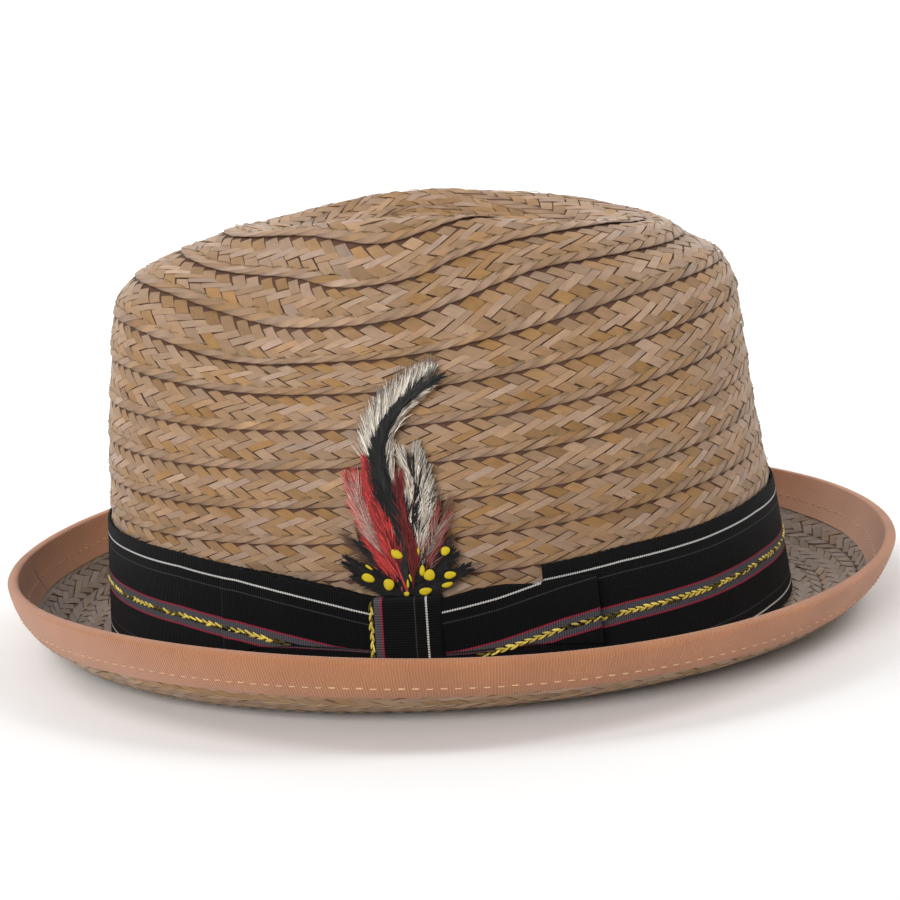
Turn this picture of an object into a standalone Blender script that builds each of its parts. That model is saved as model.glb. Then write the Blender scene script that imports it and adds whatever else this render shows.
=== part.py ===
"""Stingy brim fedora of sewn straw braid, with a ribbon band, a flat bow and a feather mount.

Metres, +Z up. The front of the hat points along -Y and the wearer's left, with the bow, along +X.
Every piece is laid on one surface: outer() gives the crown and brim, and lifted() a place above it.
"""

import math

import bmesh
import bpy
import numpy as np

# Driving dimensions, in metres
HALF_LENGTH = 0.1050  # middle of the head opening to its front, at the brim break
HALF_WIDTH = 0.0880  # middle of the head opening to its side
CROWN_HEIGHT = 0.1320  # brim break to the tip before the top is creased
STRAW = 0.0018  # wall of sewn braid
FIT_GAP = 0.0003  # clearance between touching pieces

BRIM_WIDTH = 0.0425  # break to rim, mean of front and side
BRIM_SWING = 0.0036  # how much wider the sides are, and narrower the front and back
BRIM_FLAT = 0.0060  # flat ring beside the break, on which the hat stands

CREASE_DEPTH = 0.0200  # teardrop crease along the top
CREASE_HALF_WIDTH = 0.0370
CREASE_FRONT = 0.0840  # widest place of the crease to its pointed front end, and to its back end
CREASE_BACK = 0.0560
CREASE_WIDEST = 0.0180  # how far behind the middle the crease is widest
PINCH_DEPTH = 0.0090  # dent on each side of the crown's front
PINCH_DROP = 0.0090  # how far the pinch pulls the straw down
PINCH_AHEAD = 0.0500  # middle of the hat to the pinch
PINCH_HEIGHT = 0.1060
PINCH_LENGTH = 0.0260
PINCH_TALL = 0.0170

RIBBON_WIDTH = 0.0365  # striped ribbon of band, bow and knot
RIBBON = 0.0010  # its thickness
BINDING_WIDTH = 0.0125  # binding ribbon on each side of the brim
BINDING = 0.0009
LOOP_SPACE = 0.0005  # air between the two layers of a bow loop
FRONT_LOOP_LENGTH = 0.0560  # knot's middle to the fold
BACK_LOOP_LENGTH = 0.0530
BAND_END = 0.0380  # knot's middle to the band's cut end
KNOT_WIDTH = 0.0200
PLUME_HEIGHT = 0.0600  # knot to the tip of the tallest feather
PLUME_THICK = 0.0013
PLUME_LIFT = 0.0022  # feathers' distance from the straw at the mount

# Angles, in degrees
BRIM_ANGLE = 31.9  # chord of the turned-up brim above the level
BRIM_ANGLE_FRONT = 3.7
BRIM_ANGLE_ENDS = 3.1
BRIM_ANGLE_THIRD = -1.6
BRIM_CURL = 2.25  # the rim is this many times steeper than the chord
KNOT_TURN = 88.3  # from the front round to the wearer's left

# Rings of the crown before it is creased, as shares of height, half length (front, back) and half width
RINGS = (
    # name, height, front, back, side
    ("tip", 1.000, 0.000, 0.000, 0.000),
    ("tip_row", 0.972, 0.345, 0.327, 0.290),
    ("crease", 0.947, 0.533, 0.538, 0.440),
    ("ridge", 0.901, 0.632, 0.661, 0.550),
    ("corner", 0.846, 0.804, 0.749, 0.640),
    ("corner_low", 0.795, 0.891, 0.848, 0.705),
    ("shoulder", 0.725, 0.925, 0.886, 0.780),
    ("shoulder_low", 0.640, 0.936, 0.898, 0.855),
    ("wall", 0.485, 0.961, 0.918, 0.926),
    ("band_top", 0.281, 0.978, 0.955, 0.969),
    ("break", 0.000, 1.000, 1.000, 1.000),
)

# Top edge of the ribbon, which is pleated lower at the bow: place along the wall behind the knot's
# middle as a share of the half length, height as a share of the ribbon's width
BAND_TOPS = (
    # name, place, height
    ("front_full", -1.00, 1.000),
    ("front_side", -0.72, 0.985),
    ("front_fold", -0.50, 0.930),
    ("front_middle", -0.35, 0.890),
    ("front_pleat", -0.18, 0.795),
    ("knot", -0.09, 0.730),
    ("under_back_loop", 0.12, 0.700),
    ("cut_end", 0.36, 0.880),
    ("back_side", 0.60, 0.930),
    ("back_near", 0.90, 0.950),
    ("back_full", 1.20, 0.990),
)
BACK_LOOP_TOPS = (
    # name, place, height
    ("knot", 0.09, 0.725),
    ("pleat", 0.17, 0.765),
    ("fold", 0.50, 0.770),
)

# Mount and feathers: shares of the plume's height, then layer and thickness as shares of a feather's
FEATHERS = (
    # name, root, reach, half_width, lean, bend, layer, thick
    ("mount", 0.00, 0.20, 0.160, 0.00, 0.00, 0.4, 3.0),
    ("dark_quill", 0.00, 1.00, 0.085, -0.02, 0.26, 1.2, 1.0),
    ("striped_quill", 0.03, 0.86, 0.075, 0.13, 0.10, 0.3, 1.0),
    ("pale_quill", -0.03, 0.90, 0.070, -0.10, 0.12, 0.6, 1.0),
    ("red_hackle", -0.05, 0.66, 0.080, -0.25, 0.06, -0.3, 1.0),
    ("red_hackle_low", 0.00, 0.52, 0.070, -0.08, -0.04, 1.5, 1.0),
    ("wisp_back", 0.05, 0.50, 0.080, 0.20, 0.02, -0.3, 1.0),
    ("wisp_back_low", 0.07, 0.34, 0.065, 0.26, 0.00, 0.9, 1.0),
    ("spotted_front", -0.06, 0.26, 0.075, -0.24, 0.00, 0.3, 1.0),
    ("spotted_front_low", -0.08, 0.14, 0.065, -0.22, 0.00, 0.0, 1.0),
    ("spotted_back", 0.08, 0.15, 0.065, 0.22, 0.00, 1.2, 1.0),
)

# Sampling
TURNS = 64  # facets round the hat
CROWN_STEPS = 17
BRIM_SHARES = (0.0, 0.05, 0.12, 0.30, 0.50, 0.69, 0.84, 1.0)
CURL_STEPS = 24


def smooth_column(share, column):
    """Value of one RINGS column at a share of the way from tip to break, without corners."""
    run = ring_run()
    values = np.array([ring[column] for ring in RINGS])
    slopes = np.gradient(values, run)
    i = np.clip(np.searchsorted(run, share) - 1, 0, len(run) - 2)
    step = run[i + 1] - run[i]
    u = (share - run[i]) / step
    rise = u * u * (3 - 2 * u)
    leave = u * (1 - u) ** 2 * step * slopes[i]
    arrive = u * u * (u - 1) * step * slopes[i + 1]
    return values[i] * (1 - rise) + values[i + 1] * rise + leave + arrive


def ring_run():
    """Share of the way from tip to break at which each ring of the table lies."""
    reach = np.array([(ring[2] * HALF_LENGTH + ring[4] * HALF_WIDTH) / 2 for ring in RINGS])
    height = np.array([ring[1] * CROWN_HEIGHT for ring in RINGS])
    run = np.concatenate([[0.0], np.cumsum(np.hypot(np.diff(reach), np.diff(height)))])
    return run / run[-1]


def crown(turn, share):
    """Creased crown: turn is the angle from the front, share runs from tip (0) to break (1)."""
    height = smooth_column(share, 1) * CROWN_HEIGHT
    front = smooth_column(share, 2) * HALF_LENGTH
    back = smooth_column(share, 3) * HALF_LENGTH
    side = smooth_column(share, 4) * HALF_WIDTH
    x = side * np.sin(turn)
    y = -np.where(np.cos(turn) > 0, front, back) * np.cos(turn)
    return dented(x, y, height)


def dented(x, y, z):
    """Teardrop crease along the top and a pinch on each side of the front."""
    behind = y - CREASE_WIDEST
    reach = np.where(behind < 0, CREASE_FRONT, CREASE_BACK)
    from_middle = np.sqrt((x / CREASE_HALF_WIDTH) ** 2 + (behind / reach) ** 2)
    soft_edge = 0.06
    inside = ((1 - from_middle) + np.sqrt((1 - from_middle) ** 2 + soft_edge**2)) / 2
    fall = 1 - (1 - np.clip(inside, 0, 1)) ** 1.5
    near_top = 1 / (1 + np.exp((0.72 - z / CROWN_HEIGHT) * 33))
    z = z - CREASE_DEPTH * fall * near_top
    along = ((y + PINCH_AHEAD) / PINCH_LENGTH) ** 2
    upright = ((z - PINCH_HEIGHT) / PINCH_TALL) ** 2
    press = np.exp(-along - upright)
    side = np.tanh(x / (0.20 * HALF_WIDTH))
    return np.stack([x - PINCH_DEPTH * press * side, y, z - PINCH_DROP * press * side**2], axis=-1)


def brim_width(turn):
    return BRIM_WIDTH - BRIM_SWING * np.cos(2 * turn)


def brim(turn, share):
    """Upper face of the brim: share runs from the break (0) to the rim (1)."""
    angle = BRIM_ANGLE + BRIM_ANGLE_FRONT * np.cos(turn)
    angle = angle + BRIM_ANGLE_ENDS * np.cos(2 * turn) + BRIM_ANGLE_THIRD * np.cos(3 * turn)
    width = brim_width(turn)
    flat = BRIM_FLAT / width
    out, up = np.zeros_like(width * share), np.zeros_like(width * share)
    for step in range(CURL_STEPS):
        middle = (step + 0.5) / CURL_STEPS
        covered = np.clip(share - step / CURL_STEPS, 0, 1 / CURL_STEPS)
        bent = np.clip((middle - flat) / (1 - flat), 0, 1)
        slope = np.radians(BRIM_CURL * angle) * bent
        out = out + np.cos(slope) * covered * width
        up = up + np.sin(slope) * covered * width
    away = np.stack([np.sin(turn) / HALF_WIDTH, -np.cos(turn) / HALF_LENGTH], axis=-1)
    away = away / np.linalg.norm(away, axis=-1, keepdims=True)
    x = HALF_WIDTH * np.sin(turn) + away[..., 0] * out
    y = -HALF_LENGTH * np.cos(turn) + away[..., 1] * out
    return np.stack([x, y, up], axis=-1)


def outer(turn, share):
    """Outer face of the straw: tip 0, break 1, rim 2."""
    turn, share = np.broadcast_arrays(np.asarray(turn, float), np.asarray(share, float))
    on_crown = crown(turn, np.clip(share, 0, 1))
    on_brim = brim(turn, np.clip(share - 1, 0, 1))
    return np.where((share <= 1)[..., None], on_crown, on_brim)


def lifted(turn, share, lift):
    """A place above the straw's outer face (below it where lift is negative)."""
    tiny = 1e-4
    turn, share, lift = np.broadcast_arrays(turn, share, lift)
    floor = np.where(share > 1, 1 + tiny, tiny)
    ceiling = np.where(share > 1, 2.0, 1.0)
    before = np.clip(share - tiny, floor, ceiling - tiny)
    along = outer(turn, np.clip(before + tiny, floor, ceiling)) - outer(turn, before)
    across = outer(turn + tiny, before) - outer(turn - tiny, before)
    away = np.cross(along, across)
    away = away / np.linalg.norm(away, axis=-1, keepdims=True)
    return outer(turn, share) + away * lift[..., None]


def share_at_height(height):
    """Share of the crown at which its wall stands this high above the break."""
    shares = np.linspace(1.0, 0.45, 80)
    return np.interp(height, smooth_column(shares, 1) * CROWN_HEIGHT, shares)


def turn_beside_knot(distance):
    """Angle at a distance behind the knot's middle (in front of it where negative), along the wall."""
    return math.radians(KNOT_TURN) + distance / HALF_LENGTH


def material(name, colour, roughness):
    made = bpy.data.materials.new(name)
    made.use_nodes = True
    shader = made.node_tree.nodes["Principled BSDF"]
    shader.inputs["Base Color"].default_value = (*colour, 1.0)
    shader.inputs["Roughness"].default_value = roughness
    shader.inputs["Metallic"].default_value = 0.0
    return made


def clear_scene():
    for obj in list(bpy.data.objects):
        bpy.data.objects.remove(obj, do_unlink=True)


def add_object(name, mesh, collection, look=None):
    obj = bpy.data.objects.new(name, mesh)
    collection.objects.link(obj)
    if look:
        mesh.materials.append(look)
    return obj


def loft(name, grid, collection, look, round_about=False, closed_section=False):
    """Mesh through rows of points; the rows may close on themselves, and so may each row's section."""
    rows, places = grid.shape[:2]
    bm = bmesh.new()
    verts = [[bm.verts.new(point) for point in row] for row in grid]
    for i in range(rows if round_about else rows - 1):
        for j in range(places if closed_section else places - 1):
            k, m = (i + 1) % rows, (j + 1) % places
            bm.faces.new((verts[i][j], verts[i][m], verts[k][m], verts[k][j]))
    if closed_section and not round_about:
        bm.faces.new(verts[0][::-1])
        bm.faces.new(verts[-1])
    bmesh.ops.remove_doubles(bm, verts=bm.verts, dist=1e-7)
    bmesh.ops.recalc_face_normals(bm, faces=bm.faces)
    mesh = bpy.data.meshes.new(name)
    bm.to_mesh(mesh)
    bm.free()
    mesh.shade_smooth()
    mesh.set_sharp_from_angle(angle=math.radians(40))
    return add_object(name, mesh, collection, look)


def thicken(obj, thickness, offset, even=False):
    """Solidify: offset -1 grows behind the surface, 0 to both sides; even keeps full walls at a fold."""
    wall = obj.modifiers.new("wall", "SOLIDIFY")
    wall.thickness = thickness
    wall.offset = offset
    wall.use_even_offset = even
    return obj


def hat_turns():
    return np.linspace(0, 2 * math.pi, TURNS, endpoint=False)


def add_straw_crown(collection, straw):
    """Crown of sewn braid, open below: it stands on the brim's inner ring."""
    turns = hat_turns()
    shares = np.linspace(0, share_at_height(FIT_GAP), CROWN_STEPS + 1)
    turn, share = np.meshgrid(turns, shares, indexing="ij")
    wall = loft("straw_crown", outer(turn, share), collection, straw, round_about=True)
    return thicken(wall, STRAW, -1.0, even=True)


def add_straw_brim(collection, straw):
    """Brim of the same braid: a ring under the crown's wall, then out and up to the rim."""
    turns = hat_turns()
    under_wall = lifted(turns, np.full(TURNS, 1.0), np.full(TURNS, -STRAW))
    rings = [under_wall] + [outer(turns, np.full(TURNS, 1 + share)) for share in BRIM_SHARES]
    plate = loft("straw_brim", np.stack(rings, axis=1), collection, straw, round_about=True)
    return thicken(plate, STRAW, 1.0, even=True)


def add_brim_binding(collection):
    """Plain ribbon folded over the rim: a U section that holds both faces of the brim."""
    terracotta = material("binding_ribbon", (0.40, 0.17, 0.08), 0.75)
    turns = hat_turns()
    near, far = FIT_GAP, FIT_GAP + BINDING
    start = 2 - BINDING_WIDTH / brim_width(turns)
    shares = [start + (2 - start) * step / 2 for step in range(3)]
    edge = lifted(turns, np.full(TURNS, 2.0), 0.0)
    inward = lifted(turns, np.full(TURNS, 1.9), 0.0)
    forward = (edge - inward) / np.linalg.norm(edge - inward, axis=-1, keepdims=True)

    def side(lift):
        return [lifted(turns, share, np.full(TURNS, lift)) for share in shares]

    upper_in, lower_in = side(near), side(-STRAW - near)
    upper_out, lower_out = side(far), side(-STRAW - far)
    upper_in[2] = upper_in[2] + forward * near
    lower_in[2] = lower_in[2] + forward * near
    upper_out[2] = upper_out[2] + forward * near
    lower_out[2] = lower_out[2] + forward * near
    nose = (upper_out[2] + lower_out[2]) / 2 + forward * far
    section = upper_in + lower_in[::-1] + lower_out + [nose] + upper_out[::-1]
    return loft("brim_binding", np.stack(section, axis=1), collection, terracotta, True, True)


def ribbon_top(distance, tops):
    """Height of the ribbon's top edge above its bottom edge at a distance behind the knot's middle."""
    places = [place * HALF_LENGTH for _, place, _ in tops]
    return RIBBON_WIDTH * np.interp(distance, places, [height for _, _, height in tops])


def add_ribbon(name, path, tops, collection, look):
    """Ribbon standing on the brim against the wall: path holds (distance behind the knot, lift)."""
    rows = []
    for distance, lift in path:
        heights = FIT_GAP + ribbon_top(distance, tops) * np.linspace(0, 1, 4)
        turn = turn_beside_knot(distance)
        rows.append([lifted(turn, share, lift) for share in share_at_height(heights)])
    strip = loft(name, np.array(rows), collection, look)
    return thicken(strip, RIBBON, 0.0)


def band_lift():
    return FIT_GAP + RIBBON / 2


def add_hat_band(collection, look):
    """Open loop of ribbon: cut end behind the knot, round the back and front, under the knot."""
    last = 2 * math.pi * HALF_LENGTH
    facets = math.ceil((last - BAND_END) / last * TURNS)
    places = [BAND_END + (last - BAND_END) * i / facets for i in range(facets + 1)]
    half = last / 2
    strip_path = [(place if place < half else place - last, band_lift()) for place in places]
    return add_ribbon("hat_band", strip_path, BAND_TOPS, collection, look)


def add_bow_loop(name, length, way, tops, collection, look):
    """Ribbon folded back on itself: an inner layer, a round fold and an outer layer."""
    inner = band_lift() + RIBBON + FIT_GAP
    radius = (RIBBON + LOOP_SPACE) / 2
    clear = KNOT_WIDTH * 0.02
    steps = 7
    ends = length - radius
    layer = [clear + (ends - clear) * i / steps for i in range(steps + 1)]
    bend = [math.radians(angle) for angle in (-54, -18, 18, 54)]
    path = [(distance, inner) for distance in layer]
    path += [(ends + radius * math.cos(a), inner + radius * (1 + math.sin(a))) for a in bend]
    path += [(distance, inner + 2 * radius) for distance in reversed(layer)]
    return add_ribbon(name, [(way * distance, lift) for distance, lift in path], tops, collection, look)


def knot_lift():
    """Middle of the knot's front face above the straw: band, two loop layers and the gaps."""
    return band_lift() + 3 * RIBBON + LOOP_SPACE + 2 * FIT_GAP


def knot_top():
    """Height of the middle of the knot's turned-in top."""
    beside = KNOT_WIDTH / 2
    loops = max(ribbon_top(beside, BACK_LOOP_TOPS), ribbon_top(-beside, BAND_TOPS))
    return 2 * FIT_GAP + loops + RIBBON / 2


def add_bow_knot(collection, look):
    """Upright wrap: it covers the loops' inner ends and turns in over their top edge."""
    front, top = knot_lift(), knot_top()
    bend = RIBBON
    profile = [(FIT_GAP + RIBBON * 0.2, top), (front - bend, top)]
    profile += [(front - bend * (1 - math.sin(a)), top - bend * (1 - math.cos(a))) for a in (0.8, 1.57)]
    profile += [(front, top * share) for share in (0.66, 0.33)]
    profile += [(front, FIT_GAP + RIBBON * 0.5)]
    offsets = [KNOT_WIDTH * (i / 4 - 0.5) for i in range(5)]
    rows = []
    for offset in offsets:
        turn = turn_beside_knot(offset)
        rows.append([lifted(turn, share_at_height(height), lift) for lift, height in profile])
    knot = loft("bow_knot", np.array(rows), collection, look)
    return thicken(knot, RIBBON, 0.0)


def feather_grid(root, reach, half_width, lean, bend, layer, thick):
    """Flat six-sided blade along the wall: it leans and bends as it rises."""
    base = knot_top() + RIBBON / 2 + FIT_GAP
    rows = []
    for rise in (0.0, 0.18, 0.42, 0.66, 0.86, 1.0):
        height = base + PLUME_HEIGHT * reach * rise
        middle = PLUME_HEIGHT * (root + lean * rise + bend * (rise**2 - rise))
        wide = PLUME_HEIGHT * half_width * (0.18 + 0.82 * math.sin(math.pi * (0.08 + 0.86 * rise)))
        lift = PLUME_LIFT * (1 + 0.5 * rise) + layer * PLUME_THICK
        row = []
        for corner in range(6):
            angle = math.radians(60 * corner)
            place = turn_beside_knot(middle + wide * math.cos(angle))
            out = PLUME_THICK * thick * 0.5 * math.sin(angle)
            row.append(lifted(place, share_at_height(height), lift + out))
        rows.append(row)
    return np.array(rows)


def add_feather_tuft(collection, cutters):
    """Feathers fused to a small mount that sits on the knot."""
    plume = material("feathers", (0.20, 0.07, 0.05), 0.7)
    _, *mount = FEATHERS[0]
    tuft = loft("feather_tuft", feather_grid(*mount), collection, plume, False, True)
    for name, *shape in FEATHERS[1:]:
        blade = loft(name, feather_grid(*shape), cutters, plume, False, True)
        blade.hide_render = True
        blade.display_type = "WIRE"
        join = tuft.modifiers.new(name, "BOOLEAN")
        join.operation = "UNION"
        join.solver = "MANIFOLD"
        join.object = blade
    return tuft


def middle_shift():
    """Brings the middle of the hat's length, rim to rim, to Y = 0."""
    front = outer(0.0, 2.0)[1]
    back = outer(math.pi, 2.0)[1]
    return -(front + back) / 2


def main():
    clear_scene()
    collection = bpy.data.collections.new("stingy_brim_fedora")
    cutters = bpy.data.collections.new("cutters")
    for made in (collection, cutters):
        bpy.context.scene.collection.children.link(made)
    stripes = material("striped_ribbon", (0.012, 0.012, 0.014), 0.8)
    straw = material("sewn_straw", (0.42, 0.24, 0.12), 0.6)
    pieces = [
        add_straw_crown(collection, straw),
        add_straw_brim(collection, straw),
        add_brim_binding(collection),
        add_hat_band(collection, stripes),
        add_bow_loop("bow_loop_front", FRONT_LOOP_LENGTH, -1, BAND_TOPS, collection, stripes),
        add_bow_loop("bow_loop_back", BACK_LOOP_LENGTH, 1, BACK_LOOP_TOPS, collection, stripes),
        add_bow_knot(collection, stripes),
        add_feather_tuft(collection, cutters),
    ]
    stand = add_object("hat_origin", None, collection)
    stand.location = (0.0, middle_shift(), STRAW)
    for piece in pieces + list(cutters.objects):
        piece.parent = stand


if __name__ == "__main__":
    main()
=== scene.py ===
"""Dressed model of a stingy brim straw fedora: sewn braid, bound rim, striped ribbon, bow and feathers.

Metres, +Z up. The front of the hat points along -Y and the wearer's left, with the bow, along +X.
Every piece is laid on one surface, as the CAD solids are: outer() gives the crown and brim, and
lifted() a place above it.
"""

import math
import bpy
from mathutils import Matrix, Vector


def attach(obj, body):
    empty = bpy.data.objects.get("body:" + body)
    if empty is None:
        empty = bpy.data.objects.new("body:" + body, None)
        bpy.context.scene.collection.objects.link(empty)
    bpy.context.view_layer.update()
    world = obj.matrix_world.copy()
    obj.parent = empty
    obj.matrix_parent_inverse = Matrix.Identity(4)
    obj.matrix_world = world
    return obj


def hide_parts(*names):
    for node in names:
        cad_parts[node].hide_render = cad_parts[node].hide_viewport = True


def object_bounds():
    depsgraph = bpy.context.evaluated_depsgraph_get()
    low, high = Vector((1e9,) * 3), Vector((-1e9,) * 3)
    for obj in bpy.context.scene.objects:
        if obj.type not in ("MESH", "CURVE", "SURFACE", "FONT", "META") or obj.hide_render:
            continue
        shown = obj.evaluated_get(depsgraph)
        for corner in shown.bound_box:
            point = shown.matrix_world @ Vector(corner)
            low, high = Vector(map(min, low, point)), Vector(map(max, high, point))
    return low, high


bl_info = {
    "name": "Stingy brim straw fedora",
    "version": (1, 0, 0),
    "blender": (4, 5, 0),
    "location": "3D View > Sidebar > Straw Fedora",
    "description": "Dresses the packed fedora with sewn straw braid, ribbons and feathers",
    "category": "Object",
}

import bmesh
import bpy
import mathutils
import numpy as np

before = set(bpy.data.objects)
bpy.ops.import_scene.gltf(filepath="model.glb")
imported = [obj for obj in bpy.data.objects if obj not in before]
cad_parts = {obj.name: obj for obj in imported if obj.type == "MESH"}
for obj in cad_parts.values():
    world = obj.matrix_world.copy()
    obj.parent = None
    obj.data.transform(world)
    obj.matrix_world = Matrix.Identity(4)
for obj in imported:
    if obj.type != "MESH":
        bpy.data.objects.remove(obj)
CAD_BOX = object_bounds()

# Driving dimensions, in metres
HALF_LENGTH = 0.1050  # middle of the head opening to its front, at the brim break
HALF_WIDTH = 0.0880  # middle of the head opening to its side
CROWN_HEIGHT = 0.1320  # brim break to the tip before the top is creased
STRAW = 0.0018  # wall of sewn braid

BRIM_WIDTH = 0.0425  # break to rim, mean of front and side
BRIM_SWING = 0.0036  # how much wider the sides are, and narrower the front and back
BRIM_FLAT = 0.0060  # flat ring beside the break, on which the hat stands

CREASE_DEPTH = 0.0200  # teardrop crease along the top
CREASE_HALF_WIDTH = 0.0370  # at its widest place
CREASE_FRONT = 0.0840  # widest place of the crease to its pointed front end, and to its back end
CREASE_BACK = 0.0560
CREASE_WIDEST = 0.0180  # how far behind the middle the crease is widest
PINCH_DEPTH = 0.0090  # dent on each side of the crown's front
PINCH_DROP = 0.0090  # how far the pinch pulls the straw down
PINCH_AHEAD = 0.0500  # middle of the hat to the pinch
PINCH_HEIGHT = 0.1060  # middle of the pinch above the break
PINCH_LENGTH = 0.0260  # how far its dent fades lengthwise and upwards
PINCH_TALL = 0.0170

RIBBON_WIDTH = 0.0365  # striped ribbon of band, bow and knot
BINDING_WIDTH = 0.0125  # binding ribbon on each side of the brim
FRONT_LOOP_LENGTH = 0.0560  # knot's middle to the fold
BACK_LOOP_LENGTH = 0.0530
BAND_END = 0.0380  # knot's middle to the band's cut end
KNOT_WIDTH = 0.0200

# Angles, in degrees
BRIM_ANGLE = 31.9  # chord of the turned-up brim above the level
BRIM_ANGLE_FRONT = 3.7  # more at the front and less at the back
BRIM_ANGLE_ENDS = 3.1  # more at front and back and less at the sides
BRIM_ANGLE_THIRD = -1.6  # three waves round, which lower the front and lift the back
BRIM_CURL = 2.25  # the rim is this many times steeper than the chord
KNOT_TURN = 88.3  # from the front round to the wearer's left

# Rings of the crown before it is creased, as shares of height, half length (front, back) and half width
RINGS = (
    # name, height, front, back, side
    ("tip", 1.000, 0.000, 0.000, 0.000),
    ("tip_row", 0.972, 0.345, 0.327, 0.290),
    ("crease", 0.947, 0.533, 0.538, 0.440),
    ("ridge", 0.901, 0.632, 0.661, 0.550),
    ("corner", 0.846, 0.804, 0.749, 0.640),
    ("corner_low", 0.795, 0.891, 0.848, 0.705),
    ("shoulder", 0.725, 0.925, 0.886, 0.780),
    ("shoulder_low", 0.640, 0.936, 0.898, 0.855),
    ("wall", 0.485, 0.961, 0.918, 0.926),
    ("band_top", 0.281, 0.978, 0.955, 0.969),
    ("break", 0.000, 1.000, 1.000, 1.000),
)

# Top edge of the ribbon, which is pleated lower at the bow: place along the wall behind the knot's
# middle as a share of the half length, height as a share of the ribbon's width
BAND_TOPS = (
    # name, place, height
    ("front_full", -1.00, 1.000),
    ("front_side", -0.72, 0.985),
    ("front_fold", -0.50, 0.930),
    ("front_middle", -0.35, 0.890),
    ("front_pleat", -0.18, 0.795),
    ("knot", -0.09, 0.730),
    ("under_back_loop", 0.12, 0.700),
    ("cut_end", 0.36, 0.880),
    ("back_side", 0.60, 0.930),
    ("back_near", 0.90, 0.950),
    ("back_full", 1.20, 0.990),
)

CURL_STEPS = 24  # straight steps in which the brim's curl is summed up


def unit(vectors):
    """Vectors of length one."""
    return vectors / np.linalg.norm(vectors, axis=-1, keepdims=True)


def way_along(line):
    """Distance from a line's first point to each of its points."""
    return np.concatenate([[0], np.cumsum(np.linalg.norm(np.diff(line, axis=0), axis=1))])


def ring_steps():
    """Distance from each ring of the table to the next, before the crown is creased."""
    reach = np.array([(ring[2] * HALF_LENGTH + ring[4] * HALF_WIDTH) / 2 for ring in RINGS])
    height = np.array([ring[1] * CROWN_HEIGHT for ring in RINGS])
    return np.hypot(np.diff(reach), np.diff(height))


def ring_run():
    """Share of the way from tip to break at which each ring of the table lies."""
    run = np.concatenate([[0.0], np.cumsum(ring_steps())])
    return run / run[-1]


def crown_length():
    """Metres along the surface from tip to break, before the crown is creased."""
    return float(ring_steps().sum())


def smooth_column(share, column):
    """Value of one RINGS column at a share of the way from tip to break, without corners."""
    run = ring_run()
    values = np.array([ring[column] for ring in RINGS])
    slopes = np.gradient(values, run)
    i = np.clip(np.searchsorted(run, share) - 1, 0, len(run) - 2)
    step = run[i + 1] - run[i]
    u = (share - run[i]) / step
    rise = u * u * (3 - 2 * u)
    leave = u * (1 - u) ** 2 * step * slopes[i]
    arrive = u * u * (u - 1) * step * slopes[i + 1]
    return values[i] * (1 - rise) + values[i + 1] * rise + leave + arrive


def crown(turn, share):
    """Creased crown: turn is the angle from the front, share runs from tip (0) to break (1)."""
    height = smooth_column(share, 1) * CROWN_HEIGHT
    front = smooth_column(share, 2) * HALF_LENGTH
    back = smooth_column(share, 3) * HALF_LENGTH
    side = smooth_column(share, 4) * HALF_WIDTH
    x = side * np.sin(turn)
    y = -np.where(np.cos(turn) > 0, front, back) * np.cos(turn)
    return dented(x, y, height)


def dented(x, y, z):
    """Teardrop crease along the top and a pinch on each side of the front."""
    behind = y - CREASE_WIDEST
    reach = np.where(behind < 0, CREASE_FRONT, CREASE_BACK)
    from_middle = np.sqrt((x / CREASE_HALF_WIDTH) ** 2 + (behind / reach) ** 2)
    soft_edge = 0.06
    inside = ((1 - from_middle) + np.sqrt((1 - from_middle) ** 2 + soft_edge**2)) / 2
    fall = 1 - (1 - np.clip(inside, 0, 1)) ** 1.5
    near_top = 1 / (1 + np.exp((0.72 - z / CROWN_HEIGHT) * 33))
    z = z - CREASE_DEPTH * fall * near_top
    along = ((y + PINCH_AHEAD) / PINCH_LENGTH) ** 2
    upright = ((z - PINCH_HEIGHT) / PINCH_TALL) ** 2
    press = np.exp(-along - upright)
    side = np.tanh(x / (0.20 * HALF_WIDTH))
    return np.stack([x - PINCH_DEPTH * press * side, y, z - PINCH_DROP * press * side**2], axis=-1)


def brim_width(turn):
    """Metres from the break to the rim."""
    return BRIM_WIDTH - BRIM_SWING * np.cos(2 * turn)


def brim(turn, share):
    """Upper face of the brim: share runs from the break (0) to the rim (1)."""
    angle = BRIM_ANGLE + BRIM_ANGLE_FRONT * np.cos(turn)
    angle = angle + BRIM_ANGLE_ENDS * np.cos(2 * turn) + BRIM_ANGLE_THIRD * np.cos(3 * turn)
    width = brim_width(turn)
    flat = BRIM_FLAT / width
    out, up = np.zeros_like(width * share), np.zeros_like(width * share)
    for step in range(CURL_STEPS):
        middle = (step + 0.5) / CURL_STEPS
        covered = np.clip(share - step / CURL_STEPS, 0, 1 / CURL_STEPS)
        bent = np.clip((middle - flat) / (1 - flat), 0, 1)
        slope = np.radians(BRIM_CURL * angle) * bent
        out = out + np.cos(slope) * covered * width
        up = up + np.sin(slope) * covered * width
    away = unit(np.stack([np.sin(turn) / HALF_WIDTH, -np.cos(turn) / HALF_LENGTH], axis=-1))
    x = HALF_WIDTH * np.sin(turn) + away[..., 0] * out
    y = -HALF_LENGTH * np.cos(turn) + away[..., 1] * out
    return np.stack([x, y, up], axis=-1)


def outer(turn, share):
    """Outer face of the straw: tip 0, break 1, rim 2."""
    turn, share = np.broadcast_arrays(np.asarray(turn, float), np.asarray(share, float))
    on_crown = crown(turn, np.clip(share, 0, 1))
    on_brim = brim(turn, np.clip(share - 1, 0, 1))
    return np.where((share <= 1)[..., None], on_crown, on_brim)


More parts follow.
